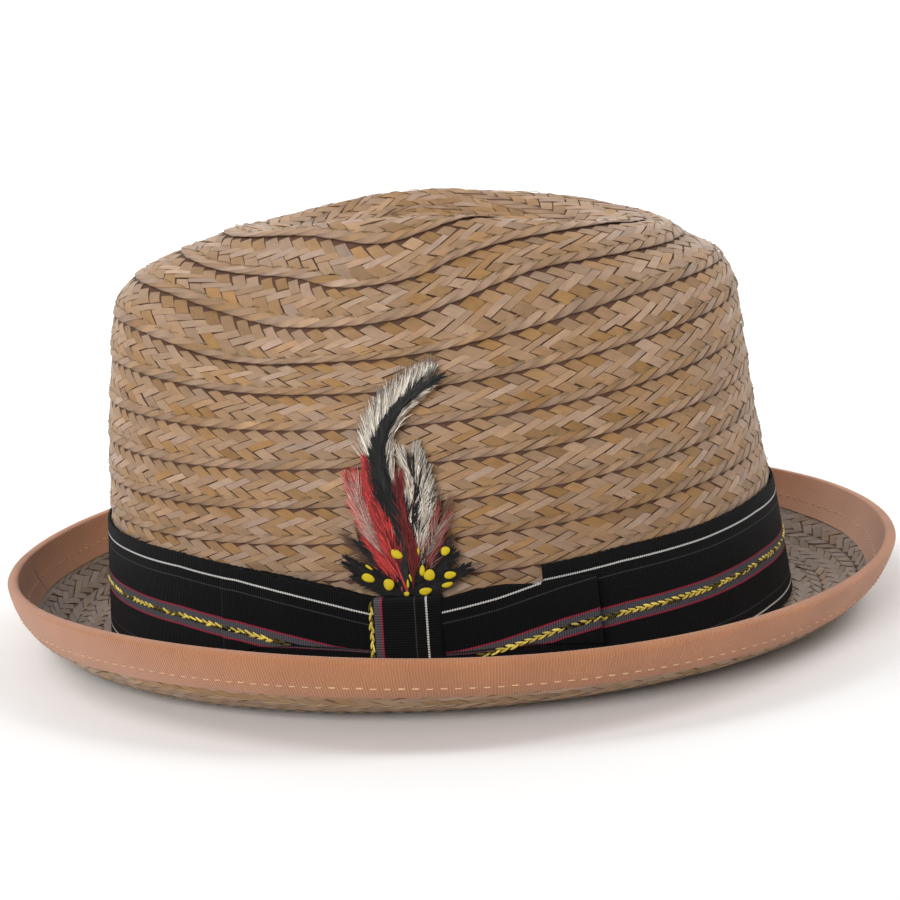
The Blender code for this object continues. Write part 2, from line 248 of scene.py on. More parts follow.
def lifted(turn, share, lift):
    """A place above the straw's outer face (below it where lift is negative)."""
    tiny = 1e-4
    turn, share, lift = np.broadcast_arrays(turn, share, lift)
    floor = np.where(share > 1, 1 + tiny, tiny)
    ceiling = np.where(share > 1, 2.0, 1.0)
    before = np.clip(share - tiny, floor, ceiling - tiny)
    along = outer(turn, np.clip(before + tiny, floor, ceiling)) - outer(turn, before)
    across = outer(turn + tiny, before) - outer(turn - tiny, before)
    away = unit(np.cross(along, across))
    return outer(turn, share) + away * lift[..., None]


def turn_beside_knot(distance):
    """Angle at a distance behind the knot's middle (in front of it where negative), along the wall."""
    return math.radians(KNOT_TURN) + distance / HALF_LENGTH


def ribbon_top(distance, tops):
    """Height of the ribbon's top edge above its bottom edge at a distance behind the knot's middle."""
    places = [place * HALF_LENGTH for _, place, _ in tops]
    return RIBBON_WIDTH * np.interp(distance, places, [height for _, _, height in tops])


def middle_shift():
    """Brings the middle of the hat's length, rim to rim, to Y = 0."""
    front = outer(0.0, 2.0)[1]
    back = outer(math.pi, 2.0)[1]
    return -(front + back) / 2


# Straw, in metres
TILE_RISE = 0.00022  # middle of a strand above the row's face
GAP_DEPTH = 0.00028  # edges of a strand below it
ROW_REST = -0.00025  # row's face over the CAD face at the row's upper edge, under the row above
ROW_LAP = 0.00028  # the same at its lower, sewn edge, which lies on the row below
STRAND_LONG = 1.10  # length of a strand over the two crossings it spans, so that its ends are tucked
STRAND_WIDE = 0.97  # its width over the distance to the next, which leaves a hairline between them
BRAID_PAST_BREAK = 0.050  # run of the braid beyond the break, a little more than the widest brim
SHELL_INSET = 0.00035  # faces of the inner layers behind the CAD faces
THREAD_STEP = 0.0056  # one dash of sewing thread to the next, dash length and radius of the thread
THREAD_DASH = 0.0042
THREAD_RADIUS = 0.00014
THREAD_UP = 0.0029  # seam above the row's lower edge
ROW_PHASE = 0.215  # share of a row between the tip and the first sewn edge
DIP_TURN = 84.0  # degrees from the front at which the rows sag beside the crease, and how far about
DIP_SPREAD = 20.0

# How the rows stray from even spacing: place from the tip, then shift of all, of the front against
# the back, of the ends against the sides, and of the dip, all in millimetres
ROW_SHIFTS = (
    # run, even, front, ends, dip
    (0, 0.0, 0.0, 0.0, 0.0),
    (35, 8.0, 0.0, 1.0, -5.0),
    (55, 3.8, -2.0, 0.0, -7.2),
    (75, 0.1, 0.6, 0.0, -13.1),
    (95, -4.3, -1.1, 4.1, -5.7),
    (115, -4.9, -1.6, 3.0, 0.1),
    (140, -3.6, -2.3, 2.3, 1.0),
    (175, 0.0, 0.0, 0.0, 0.0),
)

# Camera, fitted to the photograph's outline
CAMERA_REACH = 0.700  # camera to its aim, in metres
CAMERA_AZIMUTH = 95.0  # angles in degrees
CAMERA_ELEVATION = 12.171
CAMERA_ROLL = -4.010
CAMERA_FOCUS = 2257.7  # focal length in pixels of the 900-pixel frame
CAMERA_AIM = (0.003182, 0.003027, 0.045)  # sideways, upwards in the view, and height of the aim
FRAME_PIXELS = 900
SENSOR_MM = 36.0
WORLD_LIGHT = 0.32  # even white light from all round, beside the softbox

# Leaf of the braid's folded edge: along the row, its lower and upper bounds, rise, in millimetres
EDGE_LEAF = (
    (-4.6, 0.00, 0.06, 0.12),
    (-2.6, -0.10, 0.80, 0.18),
    (-0.4, -0.14, 1.62, 0.20),
    (1.8, 0.16, 2.40, 0.14),
    (4.2, 1.05, 3.00, 0.04),
    (6.6, 2.05, 3.15, -0.08),
    (8.4, 2.80, 3.20, -0.20),
)
LEAF_SHIFT = 0.528  # of a strand step

# Courses of strands in a row: height above the lower edge in millimetres, lean, shift in strand steps
COURSES = (
    (4.00, -1, 0.572),
    (6.80, 1, 0.310),
    (9.60, -1, 0.048),
)
# Hue from golden (0) to pale (1), and light, of strands that climb, of those that fall, and of leaves
# Climbing strands lean to the pale hue and get more light as painted reflection of gloss from above; the
# random spread round each tone is the straw's own
CLIMBING_TONE_WITH_SHEEN = (0.62, 1.03)
FALLING_TONE = (0.30, 0.95)
LEAF_TONE = (0.50, 0.97)


def linear(code):
    """sRGB hex colour as scene-linear values."""
    parts = [int(code[i:i + 2], 16) / 255 for i in (0, 2, 4)]
    return tuple(c / 12.92 if c <= 0.04045 else ((c + 0.055) / 1.055) ** 2.4 for c in parts)


def colour_setting(name, description, code):
    """Colour in the panel, preset to an sRGB hex colour."""
    return bpy.props.FloatVectorProperty(name=name, description=description, default=linear(code),
                                         subtype="COLOR")


class StrawSettings(bpy.types.PropertyGroup):
    row_width: bpy.props.FloatProperty(
        name="Row width", description="Braid that shows in one sewn row",
        default=0.0117, min=0.006, max=0.02, unit="LENGTH")
    strand_step: bpy.props.FloatProperty(
        name="Strand step", description="Distance from one strand to the next along a row",
        default=0.0059, min=0.003, max=0.008, unit="LENGTH")
    climb: bpy.props.FloatProperty(
        name="Climb", description="Angle to its row of a strand that climbs",
        default=math.radians(21.0), subtype="ANGLE")
    fall: bpy.props.FloatProperty(
        name="Fall", description="Angle to its row of a strand that falls",
        default=math.radians(32.0), subtype="ANGLE")
    golden: colour_setting("Golden strand", "Strand that keeps its toasted colour", "98703F")
    # Pale colour: the straw's own paler strands, and also painted gloss reflection where the climbing
    # strands lean to it
    pale_and_sheen: colour_setting("Pale strand", "Strand that has faded pinkish", "A88D78")
    gap: colour_setting("Gap", "Shade between strands", "54392A")
    thread: colour_setting("Thread", "Sewing thread", "A8916A")


class RibbonSettings(bpy.types.PropertyGroup):
    ground: colour_setting("Ground", "Near-black ground of the striped ribbon", "131314")
    white: colour_setting("White line", "White warp line", "D8D6D2")
    grey: colour_setting("Grey stripe", "Grey stripe between the red lines", "5C5960")
    red: colour_setting("Red line", "Thin red warp line", "A8324A")
    gold: colour_setting("Gold chain", "Gold thread of the middle chain", "D9C25A")
    binding: colour_setting("Binding", "Terracotta ribbon of the brim's edge", "B3754C")
    stitch: colour_setting("Binding stitch", "Thread that holds the binding", "DDB58C")


class FeatherSettings(bpy.types.PropertyGroup):
    black: colour_setting("Black barb", "Black barbs and quill", "121111")
    cream: colour_setting("Cream barb", "Undyed barbs", "DDD3C4")
    red: colour_setting("Red hackle", "Dyed hackles", "B93A38")
    brown: colour_setting("Brown down", "Soft brown barbs", "6E5140")
    spot: colour_setting("Yellow spot", "Painted dots on the black root feathers", "D3BB22")


# Shape on the CAD surface

def share_of(turn, run):
    """Share on outer() of a place this many metres from the tip."""
    length = crown_length()
    on_brim = 1 + (run - length) / brim_width(turn)
    return np.clip(np.where(run <= length, run / length, on_brim), 0, 2)


def place_on(turn, share, lift):
    """Point in the CAD frame."""
    return lifted(turn, share, lift) + np.array([0.0, middle_shift(), STRAW])


def wall_share(height):
    """Share of the crown at which its wall stands this high above the break."""
    shares = np.linspace(1.0, 0.1, 300)
    return np.interp(height, smooth_column(shares, 1) * CROWN_HEIGHT, shares)


def wall_point(distance, height, lift):
    """Point beside the wall: distance behind the knot's middle, height above the break."""
    distance, height, lift = np.broadcast_arrays(distance, height, lift)
    return place_on(turn_beside_knot(distance), wall_share(height), lift)


class RowMap:
    """Sewn rows of one spiral, counted from the tip: finds where a row lies at any turn."""

    def __init__(self, width):
        self.width = width
        self.turns = np.linspace(-0.4, 2 * math.pi + 0.4, 260)
        runs = np.linspace(0, crown_length() + BRIM_WIDTH + BRIM_SWING, 900)
        counts = self.count(self.turns[:, None], runs[None, :])
        self.levels = np.linspace(counts.min(), counts.max(), 1100)
        self.table = np.array([np.interp(self.levels, row, runs) for row in counts])

    def count(self, turn, run):
        """Rows, with the share of one, from the tip to a place this many metres from it."""
        table = np.array(ROW_SHIFTS) * 0.001
        even, front, ends, dip = (np.interp(run, table[:, 0], column) for column in table[:, 1:].T)
        off = (np.degrees(np.abs((turn + math.pi) % (2 * math.pi) - math.pi)) - DIP_TURN) / DIP_SPREAD
        shift = even + front * np.cos(turn) + ends * np.cos(2 * turn) + dip * np.exp(-off**2)
        return (run + shift) / self.width + turn / (2 * math.pi) + ROW_PHASE

    def span(self, runs):
        """First and last row between two places."""
        turns = np.linspace(0, 2 * math.pi, 90)
        return (math.floor(self.count(turns, np.full(90, runs[0])).min()),
                math.ceil(self.count(turns, np.full(90, runs[1])).max()) + 1)

    def run(self, turn, count):
        """Metres from the tip, by looking the table up between its four nearest entries."""
        u = (turn - self.turns[0]) / (self.turns[1] - self.turns[0])
        v = (count - self.levels[0]) / (self.levels[1] - self.levels[0])
        i = np.clip(u.astype(int), 0, len(self.turns) - 2)
        j = np.clip(v.astype(int), 0, len(self.levels) - 2)
        u, v = u - i, np.clip(v - j, 0, 1)
        low = self.table[i, j] * (1 - u) + self.table[i + 1, j] * u
        high = self.table[i, j + 1] * (1 - u) + self.table[i + 1, j + 1] * u
        return low * (1 - v) + high * v


# Meshes

def add_piece(name, mesh, material, slot, *nodes):
    """Links a mesh as a piece on the hat's body; the nodes are the CAD solids it stands for."""
    piece = bpy.data.objects.new(name, mesh)
    bpy.context.scene.collection.objects.link(piece)
    mesh.materials.append(material)
    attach(piece, "root")
    if nodes:
        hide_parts(*nodes)
    return piece


def grid_faces(rows, columns, round_rows=False, round_columns=False):
    """Corner indexes of the quads of one grid of points."""
    i, j = np.meshgrid(np.arange(rows if round_rows else rows - 1),
                       np.arange(columns if round_columns else columns - 1), indexing="ij")
    i, j = i.ravel(), j.ravel()
    k, m = (i + 1) % rows, (j + 1) % columns
    return np.stack([i * columns + j, k * columns + j, k * columns + m, i * columns + m], axis=1)


def mesh_of(name, points, faces, uv=None, tone=None):
    """Mesh from (N, points, 3) copies of one template, whose faces may be given per copy."""
    copies, size = points.shape[:2]
    all_faces = (faces[None] + (np.arange(copies) * size)[:, None, None]).reshape(-1, faces.shape[1])
    mesh = bpy.data.meshes.new(name)
    mesh.vertices.add(copies * size)
    mesh.vertices.foreach_set("co", points.reshape(-1).astype(np.float32))
    mesh.loops.add(all_faces.size)
    mesh.loops.foreach_set("vertex_index", all_faces.reshape(-1).astype(np.int32))
    mesh.polygons.add(len(all_faces))
    mesh.polygons.foreach_set("loop_start", np.arange(0, all_faces.size, faces.shape[1], dtype=np.int32))
    mesh.update(calc_edges=True)
    if uv is not None:
        layer = mesh.uv_layers.new(name="UVMap")
        flat = uv.reshape(-1, 2)[all_faces.reshape(-1)]
        layer.data.foreach_set("uv", flat.reshape(-1).astype(np.float32))
    if tone is not None:
        layer = mesh.color_attributes.new("tone", "FLOAT_COLOR", "POINT")
        flat = np.concatenate([tone.reshape(-1, 3), np.ones((copies * size, 1))], axis=1)
        layer.data.foreach_set("color", flat.reshape(-1).astype(np.float32))
    mesh.validate()
    mesh.shade_smooth()
    return mesh


def strand_template():
    """Flat strand with bevelled, tucked edges: along, across (both -1 to 1) and height share."""
    along = np.array([-1.0, -0.93, 0.0, 0.93, 1.0])
    across = np.array([-1.0, -0.93, 0.93, 1.0])
    rise = np.full((5, 4), -1.0)
    rise[1:4, 1:3] = np.array([0.0, 1.0, 0.0])[:, None]
    p, q = np.meshgrid(along, across, indexing="ij")
    return p, q, rise


def row_places(rows, row, step):
    """Turns at which the strands of a row lie, and the turn from one to the next."""
    turns = np.linspace(0, 2 * math.pi, 361)
    run = rows.run(turns, np.full(361, row + 0.5))
    length = way_along(outer(turns, share_of(turns, run)))
    number = max(6, int(round(length[-1] / step)))
    places = np.interp((np.arange(number) + 0.5) / number * length[-1], length, turns)
    local = np.gradient(turns, length)
    return places, np.interp(places, turns, local) * length[-1] / number


def covered(turn, share, margin):
    """True where ribbon or binding hides the straw's outer face."""
    height = smooth_column(np.clip(share, 0, 1), 1) * CROWN_HEIGHT
    distance = (turn - math.radians(KNOT_TURN)) * HALF_LENGTH
    half = math.pi * HALF_LENGTH
    distance = (distance + half) % (2 * half) - half
    banded = (share <= 1) & (height < ribbon_top(distance, BAND_TOPS) - margin)
    bound = share > 2 - (BINDING_WIDTH - margin) / brim_width(turn)
    return banded | bound


def crown_open(turn, share):
    """True where the straw's outer face shows."""
    return ~covered(turn, share, 0.004)


class SewnRows:
    """Rows between two runs from the tip; face 1 lies outside, -1 on the under and inner side."""

    def __init__(self, settings, runs, face, seed, keep):
        self.map = RowMap(settings.row_width)
        self.runs = runs
        self.face = face
        self.keep = keep
        self.rng = np.random.default_rng(seed)
        self.numbers = range(*self.map.span(runs))

    def jitter(self, spread, number):
        """Seeded deviation of each copy, shaped to go with its grid of points."""
        return self.rng.normal(0, spread, number)[:, None, None]

    def on_row(self, turn, row, up, lift):
        """Points this far above a row's sewn edge, with their runs and shares."""
        place = 1 - up / self.map.width
        run = self.map.run(turn, row + place if self.face > 0 else row + 1 - place)
        share = share_of(turn, run)
        lift = ROW_REST + (ROW_LAP - ROW_REST) * np.clip(place, 0, 1) + lift
        return place_on(turn, share, lift if self.face > 0 else -STRAW - lift), run, share

    def in_use(self, turns, run, share):
        """True for copies whose middle lies between the runs and shows."""
        use = (run[:, 2, 1] > self.runs[0]) & (run[:, 2, 1] < self.runs[1])
        if self.keep is not None:
            use &= self.keep(turns, share[:, 2, 1])
        return use


class Patches:
    """Collects grids of points with their UVs, in centimetres, and tones: hue, light and depth; low depth is
    painted shade.
    """

    def __init__(self):
        self.points = []
        self.uvs = []
        self.tones = []

    def add(self, use, points, u, v, hue, light, depth, order=slice(None)):
        """Adds the copies in use; hue and light are one per copy, the rest one per point."""
        full = np.ones(points.shape[:3])
        hue = np.clip(hue, 0, 1)
        uv = np.stack([u * full, v * full], axis=-1)
        tone = np.stack([hue[:, None, None] * full, light[:, None, None] * full, depth * full], axis=-1)
        for kept, values in ((self.points, points), (self.uvs, uv), (self.tones, tone)):
            kept.append(values[use][:, :, order].reshape(use.sum(), -1, values.shape[-1]))

    def piece(self, name, rows, columns, material):
        """One mesh of all that was added."""
        mesh = mesh_of(name, np.concatenate(self.points), grid_faces(rows, columns),
                       np.concatenate(self.uvs), np.concatenate(self.tones))
        mesh.set_sharp_from_angle(angle=math.radians(28))
        return add_piece(name, mesh, material, "straw_braid")


def add_strands(patches, rows, settings, row, places, course, tint):
    """One course of a row: side by side strands that climb or fall, with their ends tucked."""
    rng = rows.rng
    turns, spacing = places
    up, way, shift = course
    number = len(turns)
    step, climb, fall = settings.strand_step, settings.climb, settings.fall
    climbing = step * math.sin(fall) / math.sin(climb + fall)
    falling = step * math.sin(climb) / math.sin(climb + fall)
    own, across = (climbing, falling) if way > 0 else (falling, climbing)
    other = -fall if way > 0 else climb
    p, q, rise = strand_template()
    centre = turns + spacing * (shift + rng.normal(0, 0.02, number))
    angle = (climb if way > 0 else -fall) + rows.jitter(math.radians(1.5), number)
    near = p * (own * 2 * STRAND_LONG * (1 + rows.jitter(0.05, number))) / 2
    far = q * (across * STRAND_WIDE * (1 + rows.jitter(0.05, number))) / 2
    along = near * np.cos(angle) + far * math.cos(other)
    upward = near * np.sin(angle) + far * math.sin(other)
    turn = centre[:, None, None] + along / step * spacing[:, None, None]
    height = up * 0.001 + upward + rows.jitter(0.00012, number)
    lift = np.where(rise < 0, -GAP_DEPTH, rise * TILE_RISE) + rows.jitter(0.00006, number)
    points, run, share = rows.on_row(turn, row, height, lift)
    use = rows.in_use(centre, run, share)
    if not use.any():
        return
    u = near * 100 + rng.uniform(0, 9, number)[:, None, None]
    v = far * 100 + rng.uniform(0, 9, number)[:, None, None]
    # Climbing strands get the paler, lighter tone: painted gloss reflection
    hue, light = CLIMBING_TONE_WITH_SHEEN if way > 0 else FALLING_TONE
    hue = hue + rng.normal(0, 0.24, number) + tint[0]
    light = light * np.exp(rng.normal(0, 0.10, number)) * tint[1]
    outwards = slice(None, None, -way)
    # Bevelled edges get depth 0, which the straw material paints in the gap colour: painted shade between
    # strands
    patches.add(use, points, u, v, hue, light, np.where(rise < 0, 0.0, 1.0), outwards)


def add_leaves(patches, rows, settings, row, places, tint):
    """The folded edge of a row: a leaf for each strand that turns back."""
    rng = rows.rng
    turns, spacing = places
    number = len(turns)
    length, low, high, rise = (column[None, :, None] for column in (np.array(EDGE_LEAF) * 0.001).T)
    side = np.array([-1.04, -0.84, 0.84, 1.04])
    bevel = np.abs(side) > 1
    wide = (high - low) / 2 * (1 + rows.jitter(0.05, number))
    up = (high + low) / 2 + side * wide
    lift = rise + np.where(bevel, -0.00025, 0.0) + rows.jitter(0.00008, number)
    start = turns + (LEAF_SHIFT + rng.normal(0, 0.03, number)) * spacing
    turn = start[:, None, None] + length / settings.strand_step * spacing[:, None, None] + 0 * up
    points, run, share = rows.on_row(turn, row, up, lift)
    use = rows.in_use(turn[:, 2, 1], run, share)
    if not use.any():
        return
    hue = LEAF_TONE[0] + rng.normal(0, 0.18, number) + tint[0]
    light = LEAF_TONE[1] * np.exp(rng.normal(0, 0.10, number)) * tint[1]
    u = length * 100 + rng.uniform(0, 9, number)[:, None, None]
    v = side * wide * 100 + rng.uniform(0, 9, number)[:, None, None]
    # The leaf's bevels and its end at the seam are blended towards the gap colour: painted shade
    from_seam = np.linspace(0.25, 1.9, len(EDGE_LEAF)).clip(0, 1)[None, :, None]
    patches.add(use, points, u, v, hue, light, np.where(bevel, 0.25, from_seam))


def braid(name, settings, runs, face, seed, keep=None, tint=(0.0, 1.0)):
    """Strands and folded edges of the rows; tint is added to their hue and multiplies their light."""
    rows = SewnRows(settings, runs, face, seed, keep)
    strands, leaves = Patches(), Patches()
    for row in rows.numbers:
        places = row_places(rows.map, row, settings.strand_step)
        for course in COURSES:
            add_strands(strands, rows, settings, row, places, course, tint)
        add_leaves(leaves, rows, settings, row, places, tint)
    material = straw_material(settings)
    strands.piece(f"{name}_strands", 5, 4, material)
    leaves.piece(f"{name}_edges", len(EDGE_LEAF), 4, material)


def sewing_thread(name, settings, runs, face, seed, keep=None):
    """Dashes of thread along every row's sewn edge."""
    rows = SewnRows(settings, runs, face, seed, keep)
    corners = np.radians([90, 330, 210, 90])
    along = np.linspace(-1, 1, 5)[:, None]
    points = []
    for row in rows.numbers:
        turns, spacing = row_places(rows.map, row, THREAD_STEP)
        number = len(turns)
        half = THREAD_DASH / 2 * (1 + rows.jitter(0.12, number))
        turn = turns[:, None, None] + along * (half / THREAD_STEP * spacing[:, None, None])
        up = THREAD_UP + rows.jitter(0.00025, number) + THREAD_RADIUS * np.cos(corners)
        up = up + 0.0003 * along * rows.jitter(1, number)
        lift = 0.00040 - 0.0006 * along**4 + THREAD_RADIUS * np.sin(corners)
        spot, run, share = rows.on_row(turn + 0 * up, row, up, lift)
        use = rows.in_use(turns, run, share)
        if use.any():
            points.append(spot[use].reshape(use.sum(), -1, 3))
    mesh = mesh_of(name, np.concatenate(points), grid_faces(5, 4))
    add_piece(name, mesh, thread_material(settings.thread), "straw_braid")


# Materials

def add_node(tree, kind, inputs=None, **settings):
    """Adds a node with its settings; each input takes a value or another node's output."""
    node = tree.nodes.new(kind)
    for name, value in settings.items():
        setattr(node, name, value)
    for name, value in (inputs or {}).items():
        if isinstance(value, bpy.types.NodeSocket):
            tree.links.new(value, node.inputs[name])
        else:
            node.inputs[name].default_value = value
    return node


def new_material(name, **constants):
    """Material with one Principled shader whose constant sockets are set here."""
    made = bpy.data.materials.new(name)
    made.use_nodes = True
    shader = made.node_tree.nodes["Principled BSDF"]
    for socket, value in constants.items():
        shader.inputs[socket.replace("_", " ")].default_value = value
    return made, made.node_tree, shader


def opaque(colour, light=1.0):
    """Four channels of a colour, made lighter or darker."""
    return (*(min(1.0, channel * light) for channel in colour), 1.0)


def noise(tree, place, scale, detail=2.0, roughness=0.5):
    """Output of a noise texture."""
    return add_node(tree, "ShaderNodeTexNoise", {"Vector": place, "Scale": scale, "Detail": detail,
                                                 "Roughness": roughness}).outputs["Fac"]


def ranged(tree, value, low, high):
    """The middle part of a noise, spread over a range."""
    return add_node(tree, "ShaderNodeMapRange", {"Value": value, "From Min": 0.3, "From Max": 0.7,
                                                 "To Min": low, "To Max": high}).outputs["Result"]


def calculated(tree, operation, *values):
    """Output of one sum."""
    return add_node(tree, "ShaderNodeMath", dict(enumerate(values)), operation=operation).outputs["Value"]


def scaled(tree, colour, factor):
    """Colour made lighter or darker by a factor."""
    return add_node(tree, "ShaderNodeVectorMath", {0: colour, "Scale": factor},
                    operation="SCALE").outputs["Vector"]


def blended(tree, factor, first, second):
    """Colour between two colours."""
    node = add_node(tree, "ShaderNodeMix", {"Factor": factor, "A": first, "B": second}, data_type="RGBA")
    return [socket for socket in node.outputs if socket.type == "RGBA"][0]


def object_place(tree):
    """Place in metres, for patterns without a UV map."""
    return add_node(tree, "ShaderNodeTexCoord").outputs["Object"]


def straw_material(settings):
    """Toasted palm straw, split and plaited: a waxy skin with fine grain along each strand."""
    known = bpy.data.materials.get("plaited_palm_straw")
    if known:
        return known
    made, tree, shader = new_material("plaited_palm_straw", IOR=1.45, Sheen_Weight=0.12,
                                      Sheen_Roughness=0.5)
    tone = add_node(tree, "ShaderNodeAttribute", attribute_name="tone")
    parts = add_node(tree, "ShaderNodeSeparateColor", {"Color": tone.outputs["Color"]})
    uv = add_node(tree, "ShaderNodeUVMap", uv_map="UVMap").outputs["UV"]
    # Fibres are about 0.15 mm wide and several millimetres long; UV counts in centimetres
    stretched = add_node(tree, "ShaderNodeMapping", {"Vector": uv, "Scale": (2.5, 30.0, 1.0)})
    grain = noise(tree, stretched.outputs["Vector"], 1.0, 3.0, 0.6)
    patch = noise(tree, uv, 3.0)
    hue = blended(tree, parts.outputs["Red"], opaque(settings.golden), opaque(settings.pale_and_sheen))
    light = calculated(tree, "MULTIPLY", ranged(tree, grain, 0.86, 1.12), ranged(tree, patch, 0.90, 1.08))
    light = calculated(tree, "MULTIPLY", light, parts.outputs["Green"])
    depth = add_node(tree, "ShaderNodeMapRange", {"Value": parts.outputs["Blue"], "From Min": 0.15,
                                                  "From Max": 0.95})
    # Low depth blends the strand colour into the gap colour: painted shade at strand edges and leaf ends
    colour = blended(tree, depth.outputs["Result"], opaque(settings.gap), scaled(tree, hue, light))
    bump = add_node(tree, "ShaderNodeBump", {"Height": grain, "Strength": 0.35, "Distance": 0.00012})
    tree.links.new(colour, shader.inputs["Base Color"])
    tree.links.new(ranged(tree, grain, 0.50, 0.66), shader.inputs["Roughness"])
    tree.links.new(bump.outputs["Normal"], shader.inputs["Normal"])
    return made


def shell_material(settings):
    """Straw under the strands that show: the same plait, coloured in the dark gap colour as painted shade
    between them.
    """
    made, tree, shader = new_material("tucked_straw_painted_shade", Roughness=0.8, IOR=1.45)
    mottle = noise(tree, object_place(tree), 450.0, 3.0)
    colour = blended(tree, mottle, opaque(settings.gap, 0.75), opaque(settings.gap, 1.6))
    tree.links.new(colour, shader.inputs["Base Color"])
    return made


def thread_material(colour):
    """Waxed cotton sewing thread: soft and dull, with a fine twist of about 0.5 mm."""
    made, tree, shader = new_material("cotton_sewing_thread", Roughness=0.7, IOR=1.5)
    twist = noise(tree, object_place(tree), 2000.0)
    mixed = blended(tree, twist, opaque(colour, 0.75), opaque(colour, 1.2))
    tree.links.new(mixed, shader.inputs["Base Color"])
    return made


def rib_bump(tree, shader, uv, spacing_mm, depth):
    """Crosswise ribs of grosgrain, as a bump; gives the place across the ribbon and the ribs' height."""
    axes = add_node(tree, "ShaderNodeSeparateXYZ", {"Vector": uv})
    turns = calculated(tree, "MULTIPLY", axes.outputs["X"], 2 * math.pi / (spacing_mm * 0.001))
    wave = calculated(tree, "SINE", turns)
    level = add_node(tree, "ShaderNodeMapRange", {"Value": wave, "From Min": -1.0}).outputs["Result"]
    bump = add_node(tree, "ShaderNodeBump", {"Height": level, "Strength": 0.8, "Distance": depth})
    tree.links.new(bump.outputs["Normal"], shader.inputs["Normal"])
    return axes.outputs["Y"], level


def rib_light(tree, rib, low, high):
    """Ribs catch the light and the grooves between them lie in shade."""
    return add_node(tree, "ShaderNodeMapRange", {"Value": rib, "To Min": low,
                                                 "To Max": high}).outputs["Result"]


def ribbon_material(settings):
    """Cotton and viscose grosgrain, woven with warp lines: matte black with crosswise ribs."""
    known = bpy.data.materials.get("striped_grosgrain")
    if known:
        return known
    made, tree, shader = new_material("striped_grosgrain", Roughness=0.8, Specular_IOR_Level=0.12,
                                      Sheen_Weight=0.02)
    uv = add_node(tree, "ShaderNodeUVMap", uv_map="UVMap").outputs["UV"]
    # Real ribs stand 0.45 mm apart; 0.7 mm keeps them in sight at the render's size
    across, rib = rib_bump(tree, shader, uv, 0.7, 0.00025)
    from_middle = calculated(tree, "ABSOLUTE", calculated(tree, "SUBTRACT", across, 0.5))
    ramp = add_node(tree, "ShaderNodeValToRGB", {"Fac": calculated(tree, "MULTIPLY", from_middle, 2.0)})
    stops = (
        # share of the way from the middle to the selvage, colour
        (0.000, opaque(settings.ground)),
        (0.035, opaque(settings.grey)),
        (0.128, opaque(settings.red)),
        (0.156, opaque(settings.ground)),
        (0.606, opaque(settings.grey, 0.55)),
        (0.622, opaque(settings.ground)),
        (0.768, opaque(settings.white)),
        (0.794, opaque(settings.ground)),
    )
    ramp.color_ramp.interpolation = "CONSTANT"
    while len(ramp.color_ramp.elements) < len(stops):
        ramp.color_ramp.elements.new(0.99)
    for element, (position, colour) in zip(ramp.color_ramp.elements, stops):
        element.position = position
        element.color = colour
    lit = scaled(tree, ramp.outputs["Color"], rib_light(tree, rib, 0.55, 1.15))
    tree.links.new(lit, shader.inputs["Base Color"])
    return made


def binding_material(settings):
    """Viscose grosgrain in terracotta: fine ribs across, a little lighter where it is rubbed."""
    made, tree, shader = new_material("terracotta_grosgrain", Roughness=0.72, IOR=1.5,
                                      Sheen_Weight=0.3, Sheen_Roughness=0.45)
    uv = add_node(tree, "ShaderNodeUVMap", uv_map="UVMap").outputs["UV"]
    # Real ribs stand 0.4 mm apart; 0.8 mm keeps them in sight at the render's size
    rib = rib_bump(tree, shader, uv, 0.8, 0.00025)[1]
    worn = ranged(tree, noise(tree, object_place(tree), 60.0, 3.0), 0.93, 1.06)
    light = calculated(tree, "MULTIPLY", rib_light(tree, rib, 0.90, 1.05), worn)
    tree.links.new(scaled(tree, tuple(settings.binding), light), shader.inputs["Base Color"])
    return made


def painted_material(name, roughness, mottle, shine=0.2):
    """Base of barbs, chain thread and dots: colour from the tone attribute, with a fine mottle."""
    made, tree, shader = new_material(name, Roughness=roughness, Specular_IOR_Level=shine)
    tone = add_node(tree, "ShaderNodeAttribute", attribute_name="tone").outputs["Color"]
    level = ranged(tree, noise(tree, object_place(tree), 900.0), 1 - mottle, 1 + mottle)
    tree.links.new(scaled(tree, tone, level), shader.inputs["Base Color"])
    return made


def chain_material():
    """Twisted rayon: a silkier shine than the ribbon, in stitches of uneven gold."""
    return bpy.data.materials.get("rayon_chain_thread") or painted_material("rayon_chain_thread", 0.45, 0.25)


def feather_material():
    """Dyed keratin barbs: a faint gloss along each, nearly even in colour."""
    known = bpy.data.materials.get("dyed_feather_barbs")
    return known or painted_material("dyed_feather_barbs", 0.5, 0.10, 0.25)


# Ribbons

def ribbon_piece(name, front, back, uv, sharp, material, node, order=1):
    """Ribbon between its two faces, closed round its section and at both ends."""
    ring = np.concatenate([front, back[:, ::-1]], axis=1)
    ring_uv = np.concatenate([uv, uv[:, ::-1]], axis=1)
    rows, columns = ring.shape[:2]
    faces = grid_faces(rows, columns, False, True)[:, ::order]
    mesh = mesh_of(name, ring.reshape(1, -1, 3), faces, ring_uv.reshape(1, -1, 2))
    close_ends(mesh, rows, columns)
    mesh.set_sharp_from_angle(angle=math.radians(sharp))
    return add_piece(name, mesh, material, "striped_ribbon", node)


def close_ends(mesh, rows, columns):
    """Caps the first and last section of a lofted strip, in quads across its thickness."""
    bm = bmesh.new()
    bm.from_mesh(mesh)
    bm.verts.ensure_lookup_table()
    half = columns // 2
    for row, turn in ((0, 1), (rows - 1, -1)):
        start = row * columns
        for j in range(half - 1):
            corners = [start + j, start + j + 1, start + columns - 2 - j, start + columns - 1 - j]
            bm.faces.new([bm.verts[i] for i in corners[::turn]])
    bmesh.ops.recalc_face_normals(bm, faces=bm.faces)
    bm.to_mesh(mesh)
    bm.free()
    mesh.shade_smooth()


